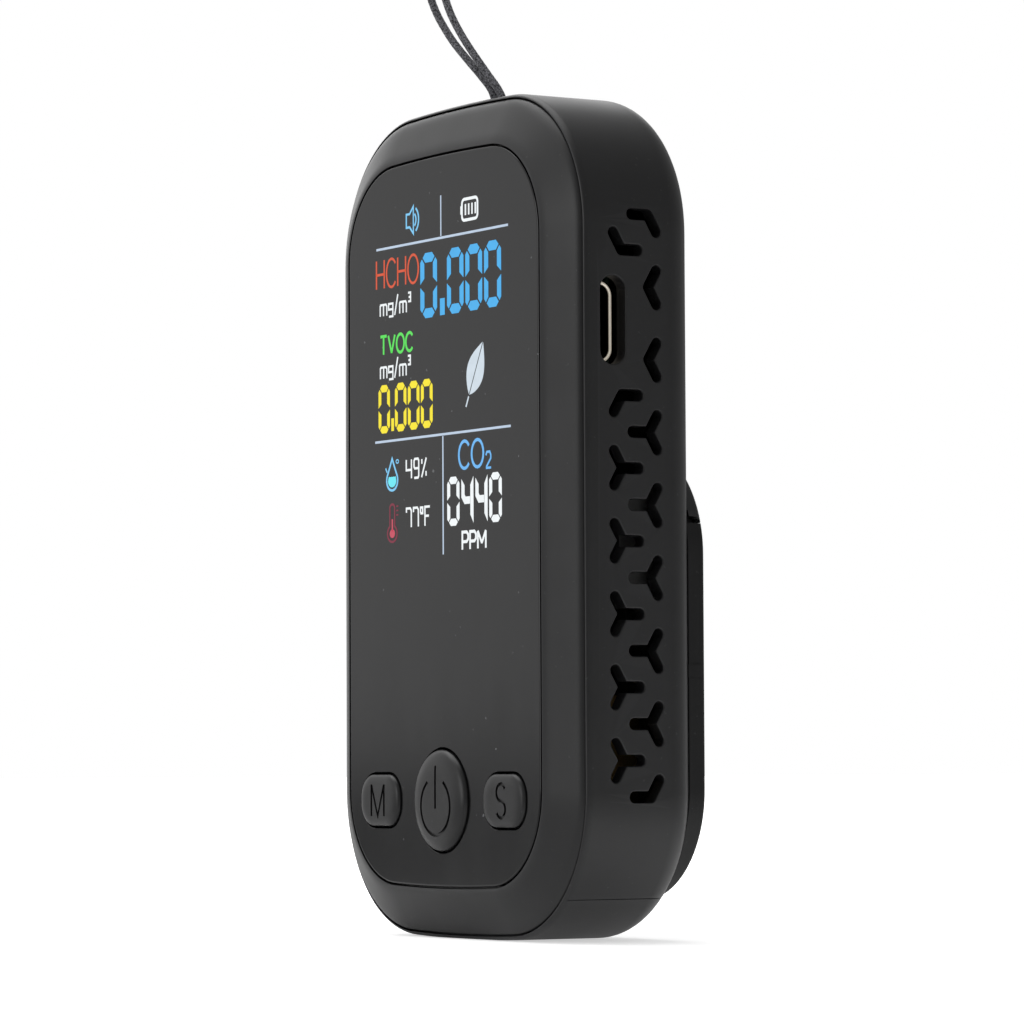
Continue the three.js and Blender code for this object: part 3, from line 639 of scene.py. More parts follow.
def make_housing():
    lip = [(SEAT_OFFSET * (1 - sin(i / 8 * pi / 2)), LIP_DEPTH + LIP_ROUND * (1 - cos(i / 8 * pi / 2)))
           for i in range(9)] + [(0, LIP_DEPTH + 1.5)]
    rear = quarter_round(REAR_EDGE, BACK_DEPTH, 12)
    shell = boolean(HOUSING.loft("housing", lip + rear), slab(0, 100), "INTERSECT")
    cavity = [(-WALL, 0)] + [(offset - WALL, behind)
                             for offset, behind in quarter_round(INNER_EDGE, BACK_DEPTH - WALL, 6)]
    seat = [(SEAT_OFFSET, 0), (SEAT_OFFSET, FRAME_BACK + GAP)]
    shell = cut(shell, HOUSING.loft("cavity", cavity), HOUSING.loft("seat", seat))
    pad = boolean(STAND_OUTLINE.loft("pad", [(0, 15.6)] + STAND_ROUND), slab(HINGE["z"], 60), "INTERSECT")
    room = [(depth(behind), HINGE["z"] + rise) for behind, rise in STAND_ROOM]
    pad = boolean(pad, skin("room", [[(x, y, z) for y, z in room] for x in (-BESIDE, BESIDE)]))
    shell = boolean(shell, pad, "UNION")
    for side in (-1, 1):
        shell = boolean(shell, hinge_lug(side), "UNION")
    shell = boolean(shell, cord_box(*CORD_PAD), "UNION")
    for x, z in SCREW_SEATS:
        shell = boolean(shell, rod_y(x, z, SCREW_BOSS), "UNION")
        shell = boolean(shell, rod_y(x, z, SCREW_HOLE))
    vents = (vent_cutters(1, RIGHT_FRONT_ROWS, RIGHT_REAR_ROWS)
             + vent_cutters(-1, LEFT_FRONT_ROWS, LEFT_REAR_ROWS))
    port = side_cutter(lambda grow: obround(PORT["y"], PORT["width"], PORT["length"], grow, 10), 1)
    shell = cut(shell, combined("cutters", vents + [port]), cord_box(*CORD_TUNNEL),
                eyelet_cutter(-EYELET_X), eyelet_cutter(EYELET_X),
                hinge_rod(PIN_HOLE, -LUG[1] - 1, LUG[1] + 1))
    core = [(-SEAM_DEPTH, -1), (-SEAM_DEPTH, BACK_DEPTH - REAR_EDGE)]
    core += [(offset - SEAM_DEPTH, behind) for offset, behind in rear]
    seam = box_mesh(-BESIDE, BESIDE, depth(LIP_DEPTH), depth(BACK_DEPTH - 0.2),
                    SEAM_Z - SEAM_HALF, SEAM_Z + SEAM_HALF)
    shell = boolean(shell, boolean(seam, HOUSING.loft("core", core)))
    return link_piece("case_shell", shell, "housing", CASE_PLASTIC, ["rear_housing"])


make_housing()


# ---- keys, lens and front frame
KEY_Z = (POWER_LOW.z + POWER_HIGH.z) / 2
POWER_RADIUS = 5.7
SIDE_KEY = {"x": (MODE_LOW.x + MODE_HIGH.x) / 2, "width": 8.7, "height": 5.9, "corner": 2.6}
POWER_PROUD, SIDE_PROUD = 0.95, 0.6
# the domed face: (share of the key's reach, share of its height)
CROWN = [(0.6, 1), (0.42, 0.985), (0.32, 0.95), (0.24, 0.9), (0.17, 0.82), (0.11, 0.71), (0.065, 0.56),
         (0.03, 0.38), (0.01, 0.2), (0, 0)]
FLANGE = [(0, 3.0), (0.9, 3.01), (0.9, 3.8)]


def side_key(side, grow, steps=10):
    return rounded_rect(-side * SIDE_KEY["x"], KEY_Z, SIDE_KEY["width"] + 2 * grow,
                        SIDE_KEY["height"] + 2 * grow, SIDE_KEY["corner"] + grow, steps)


def power_key(grow, steps=96):
    return arc(0, KEY_Z, POWER_RADIUS + grow, 0, 2 * pi, steps)


def key_holes(clearance, mouth):
    """Cutters of the three key openings, with edges broken at the front."""
    sections = [(clearance + mouth, -1.0), (clearance + mouth, 0.0), (clearance + 0.3 * mouth, 0.04),
                (clearance, 0.12), (clearance, 4.0)]
    shapes = [power_key, lambda grow: side_key(-1, grow), lambda grow: side_key(1, grow)]
    return combined("holes", [loft("hole", shape, sections) for shape in shapes])


LENS_OFFSET, LENS_THICKNESS, PLATE_BACK, SKIRT_BACK = -5.62, 1.2, 2.7, 5.6
LENS_TRIM, FRAME_OFFSET, FRAME_EDGE = 0.32, -0.7, -0.54
SKIRT_OFFSET, HOLLOW_OFFSET = -2.1, -3.3
LENS_CLEARANCE, LENS_BREAK, FRAME_CLEARANCE = 0.22, 0.08, 0.25  # round the keys
WINDOW = (0, 63.3, 30.8, 41, 0.8)  # middle x and z, width, height, corner
PORT_NOTCH = {"x": 20, "front": 3.9, "back": 7, "half": 5.2}


def lens_trim(_):
    return LENS_TRIM


def bezel_trim(offset):
    """The trim fades from the lens's edge out to the frame's."""
    return LENS_TRIM * max(0.0, min(1.0, (FRAME_OFFSET - offset) / 4.7))


def make_lens():
    edge = [(LENS_OFFSET - 0.22, 0.0), (LENS_OFFSET - 0.12, 0.02), (LENS_OFFSET - 0.04, 0.08),
            (LENS_OFFSET, 0.2), (LENS_OFFSET, LENS_THICKNESS)]
    lens = boolean(HOUSING.loft("lens", edge, lens_trim), key_holes(LENS_CLEARANCE, LENS_BREAK))
    return link_piece("lens", lens, "housing", LENS_PLASTIC, ["display_lens"])


FRAME_PROFILE = [(-5.42, 0.05), (-5.25, 0.06), (-5.05, 0.10), (-4.8, 0.18), (-4.5, 0.30), (-4.2, 0.44),
                 (-3.8, 0.64), (-3.4, 0.84), (-2.9, 1.09), (-2.4, 1.34), (-2.1, 1.49), (-1.85, 1.62),
                 (-1.6, 1.75), (-1.4, 1.86), (-1.2, 1.98), (-1.05, 2.08), (-0.92, 2.18), (-0.8, 2.29),
                 (-0.7, 2.4), (-0.62, 2.53), (-0.57, 2.68), (FRAME_EDGE, 2.85), (FRAME_EDGE, FRAME_BACK)]


def make_front_frame():
    body = HOUSING.loft("frame", FRAME_PROFILE, bezel_trim)
    skirt = [(SKIRT_OFFSET, FRAME_BACK - 0.4), (SKIRT_OFFSET, SKIRT_BACK)]
    body = boolean(body, HOUSING.loft("skirt", skirt), "UNION")
    pocket = [(LENS_OFFSET + 0.25, -1), (LENS_OFFSET + 0.25, LENS_THICKNESS + GAP)]
    hollow = [(HOLLOW_OFFSET, PLATE_BACK), (HOLLOW_OFFSET, SKIRT_BACK + 1)]
    notch = box_mesh(PORT_NOTCH["x"], BESIDE, depth(PORT_NOTCH["front"]), depth(PORT_NOTCH["back"]),
                     PORT["z"] - PORT_NOTCH["half"], PORT["z"] + PORT_NOTCH["half"])
    body = cut(body, HOUSING.loft("pocket", pocket, lens_trim), HOUSING.loft("hollow", hollow),
               prism(rounded_rect(*WINDOW), depth(0), depth(4)), notch, key_holes(FRAME_CLEARANCE, 0.0))
    return link_piece("front_surround", body, "housing", CASE_PLASTIC, ["front_frame"])


def dome(shape, reach, proud, lower=0.0):
    """Domed key cap with its retaining flange; lower moves the crown back."""
    crown = [(-inset * reach, lower - rise * proud) for inset, rise in CROWN]
    return loft("cap", shape, crown + FLANGE)


def stroke(points, width, closed=False):
    """Outline of a line of even width through the points, with mitred turns."""
    count = len(points)
    left, right = [], []
    for i, (x, z) in enumerate(points):
        turns = []
        for a, b in ((i - 1, i), (i, i + 1)):
            if closed or (0 <= a and b < count):
                (ax, az), (bx, bz) = points[a % count], points[b % count]
                length = hypot(bx - ax, bz - az)
                turns.append((-(bz - az) / length, (bx - ax) / length))
        nx, nz = sum(t[0] for t in turns) / len(turns), sum(t[1] for t in turns) / len(turns)
        scale = min(1 / max(nx * nx + nz * nz, 1e-6), 2.2 / max(hypot(nx, nz), 1e-6))
        left.append((x + nx * scale * width / 2, z + nz * scale * width / 2))
        right.append((x - nx * scale * width / 2, z - nz * scale * width / 2))
    return left, right


def stroke_solid(points, width, y0, y1, closed=False):
    """Solid of a stroke from y0 to y1; a closed one has its own inner and outer walls."""
    left, right = stroke(points, width, closed)
    if not closed:
        return prism(left + right[::-1], y0, y1)
    count = len(points)
    vertices = [(x, y, z) for edge, y in ((left, y0), (right, y0), (right, y1), (left, y1))
                for x, z in edge]
    faces = [(k * count + i, k * count + (i + 1) % count, (k + 1) % 4 * count + (i + 1) % count,
              (k + 1) % 4 * count + i) for k in range(4) for i in range(count)]
    return tidy(mesh_from("band", vertices, faces))


ENGRAVED_WIDTH, ENGRAVED_DEPTH = 0.38, 0.24


def engrave(cap, shape, reach, proud, strokes):
    """Cuts each stroke to an even depth below the domed face."""
    for points in strokes:
        groove = stroke_solid(points, ENGRAVED_WIDTH, depth(-proud - 0.5), depth(0))
        groove = boolean(groove, dome(shape, reach, proud, ENGRAVED_DEPTH))
        cap = boolean(cap, groove)
    return cap


def power_strokes():
    ring = arc(0, KEY_Z - 0.65, 3.2, radians(122), radians(418), 60, True)
    return [ring, [(0, KEY_Z + 3.9), (0, KEY_Z - 0.9)]]


def letter_m(x, z):
    a, b = 1.45, 1.8
    return [[(x - a, z - b), (x - a, z + b)], [(x + a, z - b), (x + a, z + b)],
            [(x - a + 0.05, z + b - 0.1), (x, z - b), (x + a - 0.05, z + b - 0.1)]]


def letter_s(x, z):
    r = 0.93
    upper = arc(x, z + r, r, radians(25), radians(270), 22)
    lower = arc(x, z - r, r, radians(90), radians(-155), 22, True)
    return [upper + lower]


def make_keys():
    cap = dome(power_key, POWER_RADIUS, POWER_PROUD)
    cap = engrave(cap, power_key, POWER_RADIUS, POWER_PROUD, power_strokes())
    link_piece("power_key_cap", cap, "power_key", KEY_PLASTIC, ["power_button"])
    for name, side, strokes in (("mode", -1, letter_m), ("set", 1, letter_s)):
        shape = lambda grow: side_key(side, grow)
        reach = SIDE_KEY["height"] / 2
        cap = dome(shape, reach, SIDE_PROUD)
        cap = engrave(cap, shape, reach, SIDE_PROUD, strokes(-side * SIDE_KEY["x"], KEY_Z))
        link_piece(f"{name}_key_cap", cap, f"{name}_key", KEY_PLASTIC, [f"{name}_button"])


make_lens()
make_front_frame()
make_keys()


# ---- display
SHEEN = 0.055  # what the lens reflects, taken off the emission
GLYPH_BACK, GLYPH_FRONT = 0.05, -0.015
LINE = 0.27


def lit(red, green, blue):
    """Emission of a display colour, less the lens's own reflection."""
    linear = [((c / 255 + 0.055) / 1.055) ** 2.4 for c in (red, green, blue)]
    return tuple(max(0.0, c - SHEEN) for c in linear)


def flat(points):
    return prism(points, depth(GLYPH_FRONT), depth(GLYPH_BACK))


def line(points, width=LINE, closed=False):
    return stroke_solid(points, width, depth(GLYPH_FRONT), depth(GLYPH_BACK), closed)


def ellipse(cx, cz, rx, rz, start, end, steps=20, closed=False):
    """Part of an ellipse; its angles are in degrees."""
    return [(cx + rx * x, cz + rz * z)
            for x, z in arc(0, 0, 1, radians(start), radians(end), steps, closed)]


RING = ellipse(0.5, 0.5, 0.5, 0.5, 0, 360)
OPEN_RING = ellipse(0.56, 0.5, 0.56, 0.5, 40, 320, 24, True)
# each sign's share of the width, and its strokes in a box from 0 to 1
GLYPHS = {
    "H": (0.58, [[(0, 0), (0, 1)], [(1, 0), (1, 1)], [(0, 0.5), (1, 0.5)]]),
    "C": (0.66, [OPEN_RING]),
    "O": (0.76, [RING]),
    "T": (0.62, [[(0, 1), (1, 1)], [(0.5, 1), (0.5, 0)]]),
    "V": (0.66, [[(0, 1), (0.5, 0.04)], [(0.5, 0.04), (1, 1)]]),
    "P": (0.52, [[(0, 0), (0, 1), (0.75, 1), (1, 0.85), (1, 0.6), (0.75, 0.45), (0, 0.45)]]),
    "M": (0.7, [[(0, 0), (0, 1)], [(0, 1), (0.5, 0.3)], [(0.5, 0.3), (1, 1)], [(1, 1), (1, 0)]]),
    "F": (0.4, [[(0, 0), (0, 1), (1, 1)], [(0, 0.52), (0.8, 0.52)]]),
    "m": (0.62, [[(0, 0), (0, 0.6)], [(0, 0.6), (0.88, 0.6), (1, 0.5), (1, 0)], [(0.5, 0.56), (0.5, 0)]]),
    "g": (0.4, [[(1, 0.3), (0, 0.3), (0, 0.6), (1, 0.6), (1, -0.08), (0.1, -0.08)]]),
    "/": (0.3, [[(0, -0.04), (1, 1.05)]]),
    "cube": (0.22, [[(0, 1.02), (1, 1.02), (1, 0.56), (0, 0.56)], [(0.25, 0.79), (1, 0.79)]]),
    "2": (0.5, [[(0, 0.8), (0.2, 1), (0.8, 1), (1, 0.8), (1, 0.6), (0.08, 0.1)], [(0, 0.04), (1.05, 0.04)]]),
    "4": (0.4, [[(0, 1), (0, 0.45), (1, 0.45)], [(1, 1), (1, 0)]]),
    "7": (0.4, [[(0, 0.78), (0, 1), (0.8, 1), (1, 0.88), (1, 0)]]),
    "9": (0.36, [[(1, 0.5), (0.15, 0.5), (0, 0.6), (0, 0.9), (0.15, 1), (0.85, 1), (1, 0.9), (1, 0.1),
                  (0.85, 0), (0.05, 0)]]),
    "%": (0.4, [[(0.05, 0), (0.95, 1)], [(0.1, 0.7), (0.1, 0.95)], [(0.9, 0.05), (0.9, 0.3)]]),
    "degree": (0.18, [[(0, 0.68), (0, 0.98), (1, 0.98), (1, 0.68), (0, 0.68)]]),
}
GLYPH_GAP = 0.17


def label(names, x0, x1, z0, z1, width=LINE, gap=GLYPH_GAP):
    """Row of stroked signs from x0 to x1, standing on z0 and reaching z1."""
    total = sum(GLYPHS[name][0] for name in names) + gap * (len(names) - 1)
    scale = (x1 - x0) / total
    meshes, x = [], x0
    for name in names:
        share, strokes = GLYPHS[name]
        for points in strokes:
            placed = [(x + u * share * scale, z0 + v * (z1 - z0)) for u, v in points]
            meshes.append(line(placed, width, points is RING))
        x += (share + gap) * scale
    return meshes


BAR_TOP = [(0.3, 1), (0.7, 1), (0.85, 0.93), (0.7, 0.852), (0.3, 0.852), (0.15, 0.93)]
BAR_LEFT = [(0, 0.525), (0, 0.86), (0.1, 0.912), (0.24, 0.835), (0.24, 0.61)]
FOUR = [[(0.03, 0.93), (0.03, 0.56), (0.28, 0.42), (0.72, 0.42), (0.72, 0.57), (0.36, 0.57), (0.28, 0.62),
         (0.28, 0.8)], [(0.75, 0.8), (1, 0.97), (1, 0.03), (0.75, 0.2)]]


def mirrored(points, sideways, upside_down):
    return [(1 - u if sideways else u, 1 - v if upside_down else v) for u, v in points]


ZERO = ([mirrored(BAR_TOP, False, down) for down in (False, True)]
        + [mirrored(BAR_LEFT, right, down) for right in (False, True) for down in (False, True)])


def digit(bars, x0, width, z0, z1):
    return [flat([(x0 + u * width, z0 + v * (z1 - z0)) for u, v in bar]) for bar in bars]


def block(x0, x1, z0, z1):
    return [flat([(x0, z0), (x1, z0), (x1, z1), (x0, z1)])]


def battery_icon(x0, x1, z0, z1):
    bars = []
    for i in range(4):
        x = x0 + 0.62 + 0.72 * i
        bars += block(x, x + 0.3, z0 + 0.55, z1 - 0.55)
    border = rounded_rect((x0 + x1) / 2, (z0 + z1) / 2, x1 - x0, z1 - z0, 0.5, 5)
    return bars + [line(border, 0.34, True)] + block(x0 - 0.34, x0 - 0.1, z0 + 0.7, z1 - 0.7)


def speaker_icon(x, z):
    body = [(x, z - 0.75), (x + 0.75, z - 0.75), (x + 1.6, z - 1.55), (x + 1.6, z + 1.55),
            (x + 0.75, z + 0.75), (x, z + 0.75)]
    waves = [line(ellipse(x + 1.55, z, rx, rz, -62, 62, 12, True), 0.26)
             for rx, rz in ((0.65, 0.75), (1.25, 1.45))]
    return [line(body, 0.26, True)] + waves


def droplet(cx, cz, size):
    """Teardrop outline with its tip up."""
    bowl = ellipse(cx, cz, 1.1 * size, size, 150, 390, 24, True)
    return bowl + [(cx + 0.45 * size, cz + 1.35 * size), (cx, cz + 2.15 * size),
                   (cx - 0.45 * size, cz + 1.35 * size)]


def droplet_icon(cx, cz):
    tick = line([(cx - 1.5, cz + 1.45), (cx - 1.15, cz + 0.95)], 0.22)
    ring = line(ellipse(cx + 1.2, cz + 2.1, 0.3, 0.2, 0, 360, 12), 0.14, True)
    return [line(droplet(cx, cz, 1.15), 0.28, True), tick, ring]


def thermometer_icon(cx, z0):
    bulb = ellipse(cx, z0 + 1.0, 1.1, 0.95, 120, 420, 20, True)
    tube = ellipse(cx, z0 + 3.95, 0.55, 0.4, 0, 180, 8, True)
    ticks = [line([(cx + 0.95, z0 + rise), (cx + 1.4, z0 + rise)], 0.18) for rise in (3.1, 3.6, 4.1)]
    return [line(bulb + tube, 0.26, True)] + ticks


def leaf_icon(x0, z0, x1, z1):
    """Two leaf halves either side of a thin midrib, with a stalk."""
    start, ahead = Vector((x0, z0)), Vector((x1 - x0, z1 - z0))
    length = ahead.length
    ahead.normalize()
    across = Vector((-ahead.y, ahead.x))
    foot, stalk_end = 0.16, 0.13

    def spot(along, aside):
        return tuple(start + ahead * along + across * aside)

    meshes = []
    for side in (-1, 1):
        swells = [(i / 16, 0.07 + 1.75 * sin(pi * (i / 16) ** 0.85)) for i in range(17)]
        edge = [spot(length * (foot + (1 - foot) * t), side * swell) for t, swell in swells]
        meshes.append(flat(edge + [spot(length * t, side * 0.1) for t in (1.0, foot)]))
    return meshes + [line([spot(-0.3, 0), spot(length * stalk_end, 0)], 0.24)]


def make_display():
    lines = [line([(-14.6, 78.7), (14.8, 78.7)]), line([(-15, 56.5), (15.2, 56.5)]),
             line([(0.15, 83.5), (0.15, 78.9)], 0.22), line([(0.42, 56.3), (0.42, 43)], 0.25)]
    blue = digit(ZERO, -4.5, 3.75, 69.9, 77.3) + block(-0.1, 0.95, 69.95, 71.85)
    for x0 in (1.48, 5.55, 9.64):
        blue += digit(ZERO, x0, 3.65, 69.9, 77.3)
    yellow = digit(ZERO, -14.2, 2.62, 57.45, 63.0) + block(-11.25, -10.65, 57.6, 59.05)
    for x0 in (-10.4, -7.43, -4.46):
        yellow += digit(ZERO, x0, 2.62, 57.45, 63.0)
    unit = ["m", "g", "/", "m", "cube"]
    signs = (battery_icon(4.85, 8.25, 80.15, 82.5) + label(unit, -13.75, -6.75, 70.95, 73.1, 0.25)
             + label(unit, -13.75, -6.85, 63.75, 65.9, 0.25)
             + label("49%", -7.85, -3.25, 51.95, 54.1, 0.27, 0.2)
             + label(["7", "7", "degree", "F"], -7.85, -2.55, 46.4, 48.55, 0.27, 0.18)
             + label("PPM", 4.65, 9.75, 43.35, 45.3, 0.34))
    for i, bars in enumerate((ZERO, FOUR, FOUR, ZERO)):
        signs += digit(bars, 1.35 + 3.06 * i, 2.7, 46.1, 51.6)
    wave = [(-11.1 + 0.2 * i, 52.35 + 0.14 * sin(3.2 * i)) for i in range(4, -5, -1)]
    pool = [flat(ellipse(-11.1, 51.95, 0.95, 0.8, 185, 355, 16, True) + wave)]
    mercury = [flat(ellipse(-11.1, 45.85, 0.6, 0.5, 0, 360, 16)),
               line([(-11.1, 46.1), (-11.1, 47.5)], 0.3)]
    groups = {
        "lines": (lines, (196, 212, 232)),
        "blue_digits": (blue, (88, 182, 242)),
        "yellow_digits": (yellow, (255, 236, 66)),
        "white_signs": (signs, (248, 253, 255)),
        "red_label": (label("HCHO", -14.6, -4.95, 74.15, 77.4, 0.29), (222, 98, 72)),
        "green_label": (label("TVOC", -13.7, -6.35, 66.5, 68.6, 0.34), (104, 230, 104)),
        "sky_signs": (speaker_icon(-7.65, 81.35) + droplet_icon(-11.1, 51.95), (136, 208, 250)),
        "water": (pool, (120, 240, 252)),
        "gas_label": (label("CO", 3.95, 9.3, 52.4, 55.45, 0.36), (120, 190, 250)),
        "gas_index": (label("2", 9.85, 10.9, 52.1, 53.95, 0.26), (120, 190, 250)),
        "thermometer": (thermometer_icon(-11.1, 44.85), (134, 66, 80)),
        "mercury": (mercury, (206, 92, 108)),
        "leaf": (leaf_icon(5.7, 59.5, 9.3, 66.2), (214, 226, 236)),
    }
    for name, (meshes, colour) in groups.items():
        name = f"display_{name}"
        link_piece(name, combined(name, meshes), "housing", glow(name, lit(*colour)))


make_display()


# ---- stand
RIB = {"near": 22.5, "far": 24.0, "low": 28.9, "high": 30.3}
FINGER_NOTCH = {"half": 7, "deep": 0.8, "high": 2}


def make_stand():
    """Flap that reaches up to the hinge, with a barrel round the pin and an ear past each lug."""
    broken_edge = [(-0.25, STAND_INNER), (0, STAND_INNER + 0.2)]
    flap = STAND_OUTLINE.loft("flap", broken_edge + STAND_ROUND)
    end, ear = LUG[0] - GAP, LUG[1] + GAP
    extent = slab(0, HINGE["z"])
    for side in (-1, 1):
        x0, x1 = x_span(side, ear, BESIDE)
        extent = boolean(extent, box_mesh(x0, x1, -BEFORE, BEFORE, 0, HINGE["z"] + EAR_RISE), "UNION")
    flap = boolean(flap, extent, "INTERSECT")
    flap = boolean(flap, hinge_rod(BARREL_RADIUS, -end, end), "UNION")
    for side in (-1, 1):
        x0, x1 = x_span(side, RIB["near"], RIB["far"])
        flap = boolean(flap, box_mesh(x0, x1, depth(STAND_INNER), depth(STAND_OUTER - 0.5),
                                      RIB["low"], RIB["high"]), "UNION")
        x0, x1 = x_span(side, end, ear)
        flap = boolean(flap, box_mesh(x0, x1, -BEFORE, BEFORE, HINGE["z"] - 1.7, 60))
    half, inner = FINGER_NOTCH["half"], depth(STAND_INNER)
    flap = boolean(flap, box_mesh(-half, half, inner - 1, inner + FINGER_NOTCH["deep"], 0,
                                  STAND_FOOT + FINGER_NOTCH["high"]))
    flap = boolean(flap, hinge_rod(PIN_HOLE, -ear, ear))
    return link_piece("stand_flap", flap, "stand", STAND_PLASTIC, ["kickstand"])


make_stand()


# ---- charging port and screws
PORT_WALL, PORT_ROLL, PORT_FLOOR = 0.34, 0.17, 0.8


def port_solid(sections):
    """Solid along x of the port shell's outline; each section is (x, grow)."""
    width, length = SHELL_HIGH.y - SHELL_LOW.y, SHELL_HIGH.z - SHELL_LOW.z
    middle = (SHELL_HIGH.y + SHELL_LOW.y) / 2
    return skin("port", [[(x, y, z) for y, z in obround(middle, width, length, grow, 12)]
                         for x, grow in sections])


def make_port():
    inner, mouth = SHELL_LOW.x, SHELL_HIGH.x
    rolled = [(PORT_ROLL * (1 - cos(i / 6 * pi / 2)), PORT_ROLL * sin(i / 6 * pi / 2)) for i in range(7)]
    shell = port_solid([(inner, 0)] + [(mouth - PORT_ROLL + out, -back) for back, out in rolled])
    bore = port_solid([(inner + PORT_FLOOR, -PORT_WALL), (mouth - PORT_ROLL, -PORT_WALL)]
                      + [(mouth - PORT_ROLL + out, back - PORT_WALL) for back, out in rolled[1:-1]]
                      + [(mouth + 0.01, -0.16)])
    shell = boolean(shell, bore)
    link_piece("port_shell", shell, "housing", PORT_STEEL_PAINTED_LIGHT, ["charging_port_shell"])


SCREW_FACE = 16.7
SCREW = [(0.5, 7.2), (0.85, 7.6), (0.85, 15.8), (1.9, 15.81), (1.9, 16.38), (1.78, 16.56), (1.55, 16.67),
         (1.3, SCREW_FACE)]
CROSS_REACH, CROSS_HALF, CROSS_DEPTH = 1.15, 0.2, 0.5


def make_screws():
    face = depth(SCREW_FACE)
    for (x, z), name in zip(SCREW_SEATS, ("lower_left", "upper_left", "lower_right", "upper_right")):
        body = rod_y(x, z, SCREW, 48)
        for half_x, half_z in ((CROSS_REACH, CROSS_HALF), (CROSS_HALF, CROSS_REACH)):
            body = boolean(body, box_mesh(x - half_x, x + half_x, face - CROSS_DEPTH, face + 1,
                                          z - half_z, z + half_z))
        link_piece(f"case_screw_{name}", body, "housing", BLACK_STEEL,
                   [f"housing_screw_{name}"])


make_port()
make_screws()


# ---- carried-over nodes
def dress(node, material):
    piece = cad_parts[node]
    piece.data.materials.clear()
    piece.data.materials.append(material)


GREY_PLASTIC = plain("grey_plastic", (0.10, 0.10, 0.098), (0.15, 0.15, 0.147), 0.6)
CHIP_PLASTIC = plain("chip_plastic", (0.008, 0.008, 0.009), (0.016, 0.016, 0.017), 0.5, 1500)
INNER_LOOKS = {
    "main_circuit_board": plain("solder_mask", (0.002, 0.016, 0.007), (0.004, 0.03, 0.013), 0.45, 250),
    "lcd_module": CHIP_PLASTIC,
    "lcd_flex_cable": plain("flex_film", (0.40, 0.14, 0.02), (0.58, 0.24, 0.04), 0.35, 300),
    "battery_cell": metal("pouch_foil", (0.62, 0.63, 0.65), 0.35),
    "battery_foam_pad": plain("foam", (0.012, 0.012, 0.012), (0.04, 0.04, 0.04), 0.95, 1800, 0.6),
    "battery_connector": plain("ivory_nylon", (0.60, 0.56, 0.46), (0.72, 0.68, 0.58), 0.5),
    "battery_lead_positive": plain("red_insulation", (0.28, 0.006, 0.006), (0.4, 0.012, 0.01), 0.4),
    "battery_lead_negative": plain("black_insulation", (0.008, 0.008, 0.008), (0.015, 0.015, 0.015), 0.4),
    "formaldehyde_sensor": GREY_PLASTIC,
    "carbon_dioxide_sensor": metal("gold_can", (0.30, 0.21, 0.09), 0.45),
    "organic_vapour_sensor": BLACK_STEEL,
    "kickstand_hinge_pin": BRIGHT_STEEL,
    "board_screw_left": BRIGHT_STEEL,
    "board_screw_right": BRIGHT_STEEL,
    **{f"{key}_switch_plunger": GREY_PLASTIC for key in ("power", "mode", "set")},
}
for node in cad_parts:
    if node not in REPLACED:
        dress(node, INNER_LOOKS.get(node, CHIP_PLASTIC))


# ---- studio
FLOOR_HALF, FLOOR_DROP = 30, 0.00005
HAZE_FROM, HAZE_TO = 0.07, 0.26
SHADE_FROM, SHADE_TO, PALE, SHADED = -0.05, -0.11, 0.85, 0.34
BOUNCE_PLACE, BOUNCE_FULL, BOUNCE_END = (0.04, 0.014, 0), 0.015, 0.045
GLEAM = 0.55


def grey(value):
    return (value, value, value)


def make_floor():
    """White to the eye; dark in front for what it mirrors, with a bright patch beside the case."""
    mesh = bpy.data.meshes.new("floor")
    corners = [(x * FLOOR_HALF, y * FLOOR_HALF, 0) for x, y in ((-1, -1), (1, -1), (1, 1), (-1, 1))]
    mesh.from_pydata(corners, [], [(0, 1, 2, 3)])
    floor = bpy.data.objects.new("floor", mesh)
    floor.location.z = -FLOOR_DROP
    bpy.context.scene.collection.objects.link(floor)
    nodes = Nodes("pale_floor")
    distance = nodes.tree.nodes.new("ShaderNodeVectorMath")
    distance.operation = "LENGTH"
    nodes.link(nodes.place, distance.inputs[0])
    far = nodes.spread(distance.outputs["Value"], HAZE_FROM, HAZE_TO)
    place = nodes.tree.nodes.new("ShaderNodeSeparateXYZ")
    nodes.link(nodes.place, place.inputs[0])
    front = nodes.spread(place.outputs["Y"], SHADE_FROM, SHADE_TO)
    nodes.drive(Base_Color=nodes.blend(front, grey(PALE), grey(SHADED)))
    beside = nodes.tree.nodes.new("ShaderNodeVectorMath")
    beside.operation = "DISTANCE"
    nodes.link(nodes.place, beside.inputs[0])
    beside.inputs[1].default_value = BOUNCE_PLACE
    patch = nodes.spread(beside.outputs["Value"], BOUNCE_FULL, BOUNCE_END, 1, 0)
    bounce = nodes.blend(patch, grey(0), grey(GLEAM))
    rays = nodes.tree.nodes.new("ShaderNodeLightPath").outputs["Is Camera Ray"]
    haze = nodes.blend(far, grey(GLEAM), grey(1))
    nodes.drive(Emission_Color=nodes.blend(rays, bounce, haze))
    nodes.set(Roughness=0.95, Specular_IOR_Level=0.0, Emission_Strength=1.0)
    mesh.materials.append(nodes.material)


# bright parts of the sky: (direction, where each starts and is full, as a cosine, strength)
SKY_LOBES = (
    ((-0.71, -0.71, 0.0), 0.15, 0.6, 0.52),
    ((-0.8, 0.35, 0.5), 0.88, 0.97, 1.3),
)
DARK_SKY = 0.36


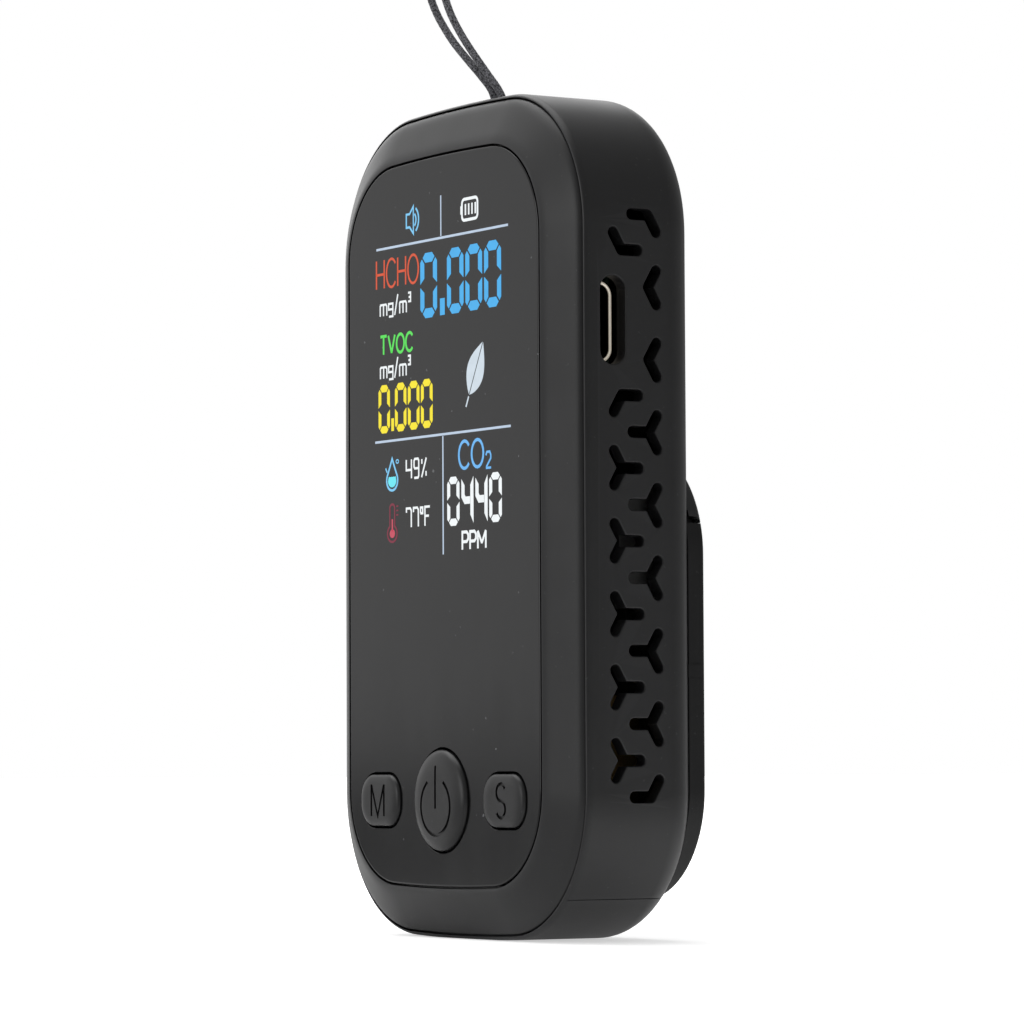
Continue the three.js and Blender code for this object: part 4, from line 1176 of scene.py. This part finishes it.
def make_world():
    """White to the eye; its light comes from the front left, with a window-like patch on the left."""
    world = bpy.data.worlds.new("studio")
    bpy.context.scene.world = world
    world.use_nodes = True
    tree = world.node_tree
    background = tree.nodes["Background"]
    direction = tree.nodes.new("ShaderNodeTexCoord").outputs["Generated"]
    total = None
    for centre, low, high, strength in SKY_LOBES:
        facing = tree.nodes.new("ShaderNodeVectorMath")
        facing.operation = "DOT_PRODUCT"
        facing.inputs[1].default_value = Vector(centre).normalized()
        tree.links.new(direction, facing.inputs[0])
        fade = tree.nodes.new("ShaderNodeMapRange")
        fade.interpolation_type = "SMOOTHSTEP"
        for name, value in (("From Min", low), ("From Max", high), ("To Max", strength)):
            fade.inputs[name].default_value = value
        tree.links.new(facing.outputs["Value"], fade.inputs["Value"])
        add = tree.nodes.new("ShaderNodeMath")
        tree.links.new(fade.outputs[0], add.inputs[0])
        add.inputs[1].default_value = DARK_SKY
        if total is not None:
            tree.links.new(total, add.inputs[1])
        total = add.outputs[0]
    rays = tree.nodes.new("ShaderNodeLightPath")
    mix = tree.nodes.new("ShaderNodeMix")
    tree.links.new(rays.outputs["Is Camera Ray"], mix.inputs["Factor"])
    tree.links.new(total, mix.inputs[2])
    mix.inputs[3].default_value = 1.0
    tree.links.new(mix.outputs[0], background.inputs["Strength"])
    background.inputs["Color"].default_value = (1, 1, 1, 1)


def make_light(name, place, aim, size, power):
    lamp = bpy.data.lights.new(name, "AREA")
    lamp.shape, lamp.size, lamp.size_y, lamp.energy = "RECTANGLE", size[0], size[1], power
    light = bpy.data.objects.new(name, lamp)
    light.location = place
    light.rotation_mode = "QUATERNION"
    light.rotation_quaternion = (Vector(aim) - Vector(place)).to_track_quat("-Z", "Y")
    bpy.context.scene.collection.objects.link(light)


make_floor()
make_world()
make_light("overhead", (-0.3, -0.1, 0.9), (0, 0, 0.05), (0.9, 0.9), 5)
make_light("front", (0.08, -1.1, 0.15), (0, 0, 0.05), (0.5, 0.9), 2.4)
bpy.context.scene.view_settings.view_transform = "Standard"
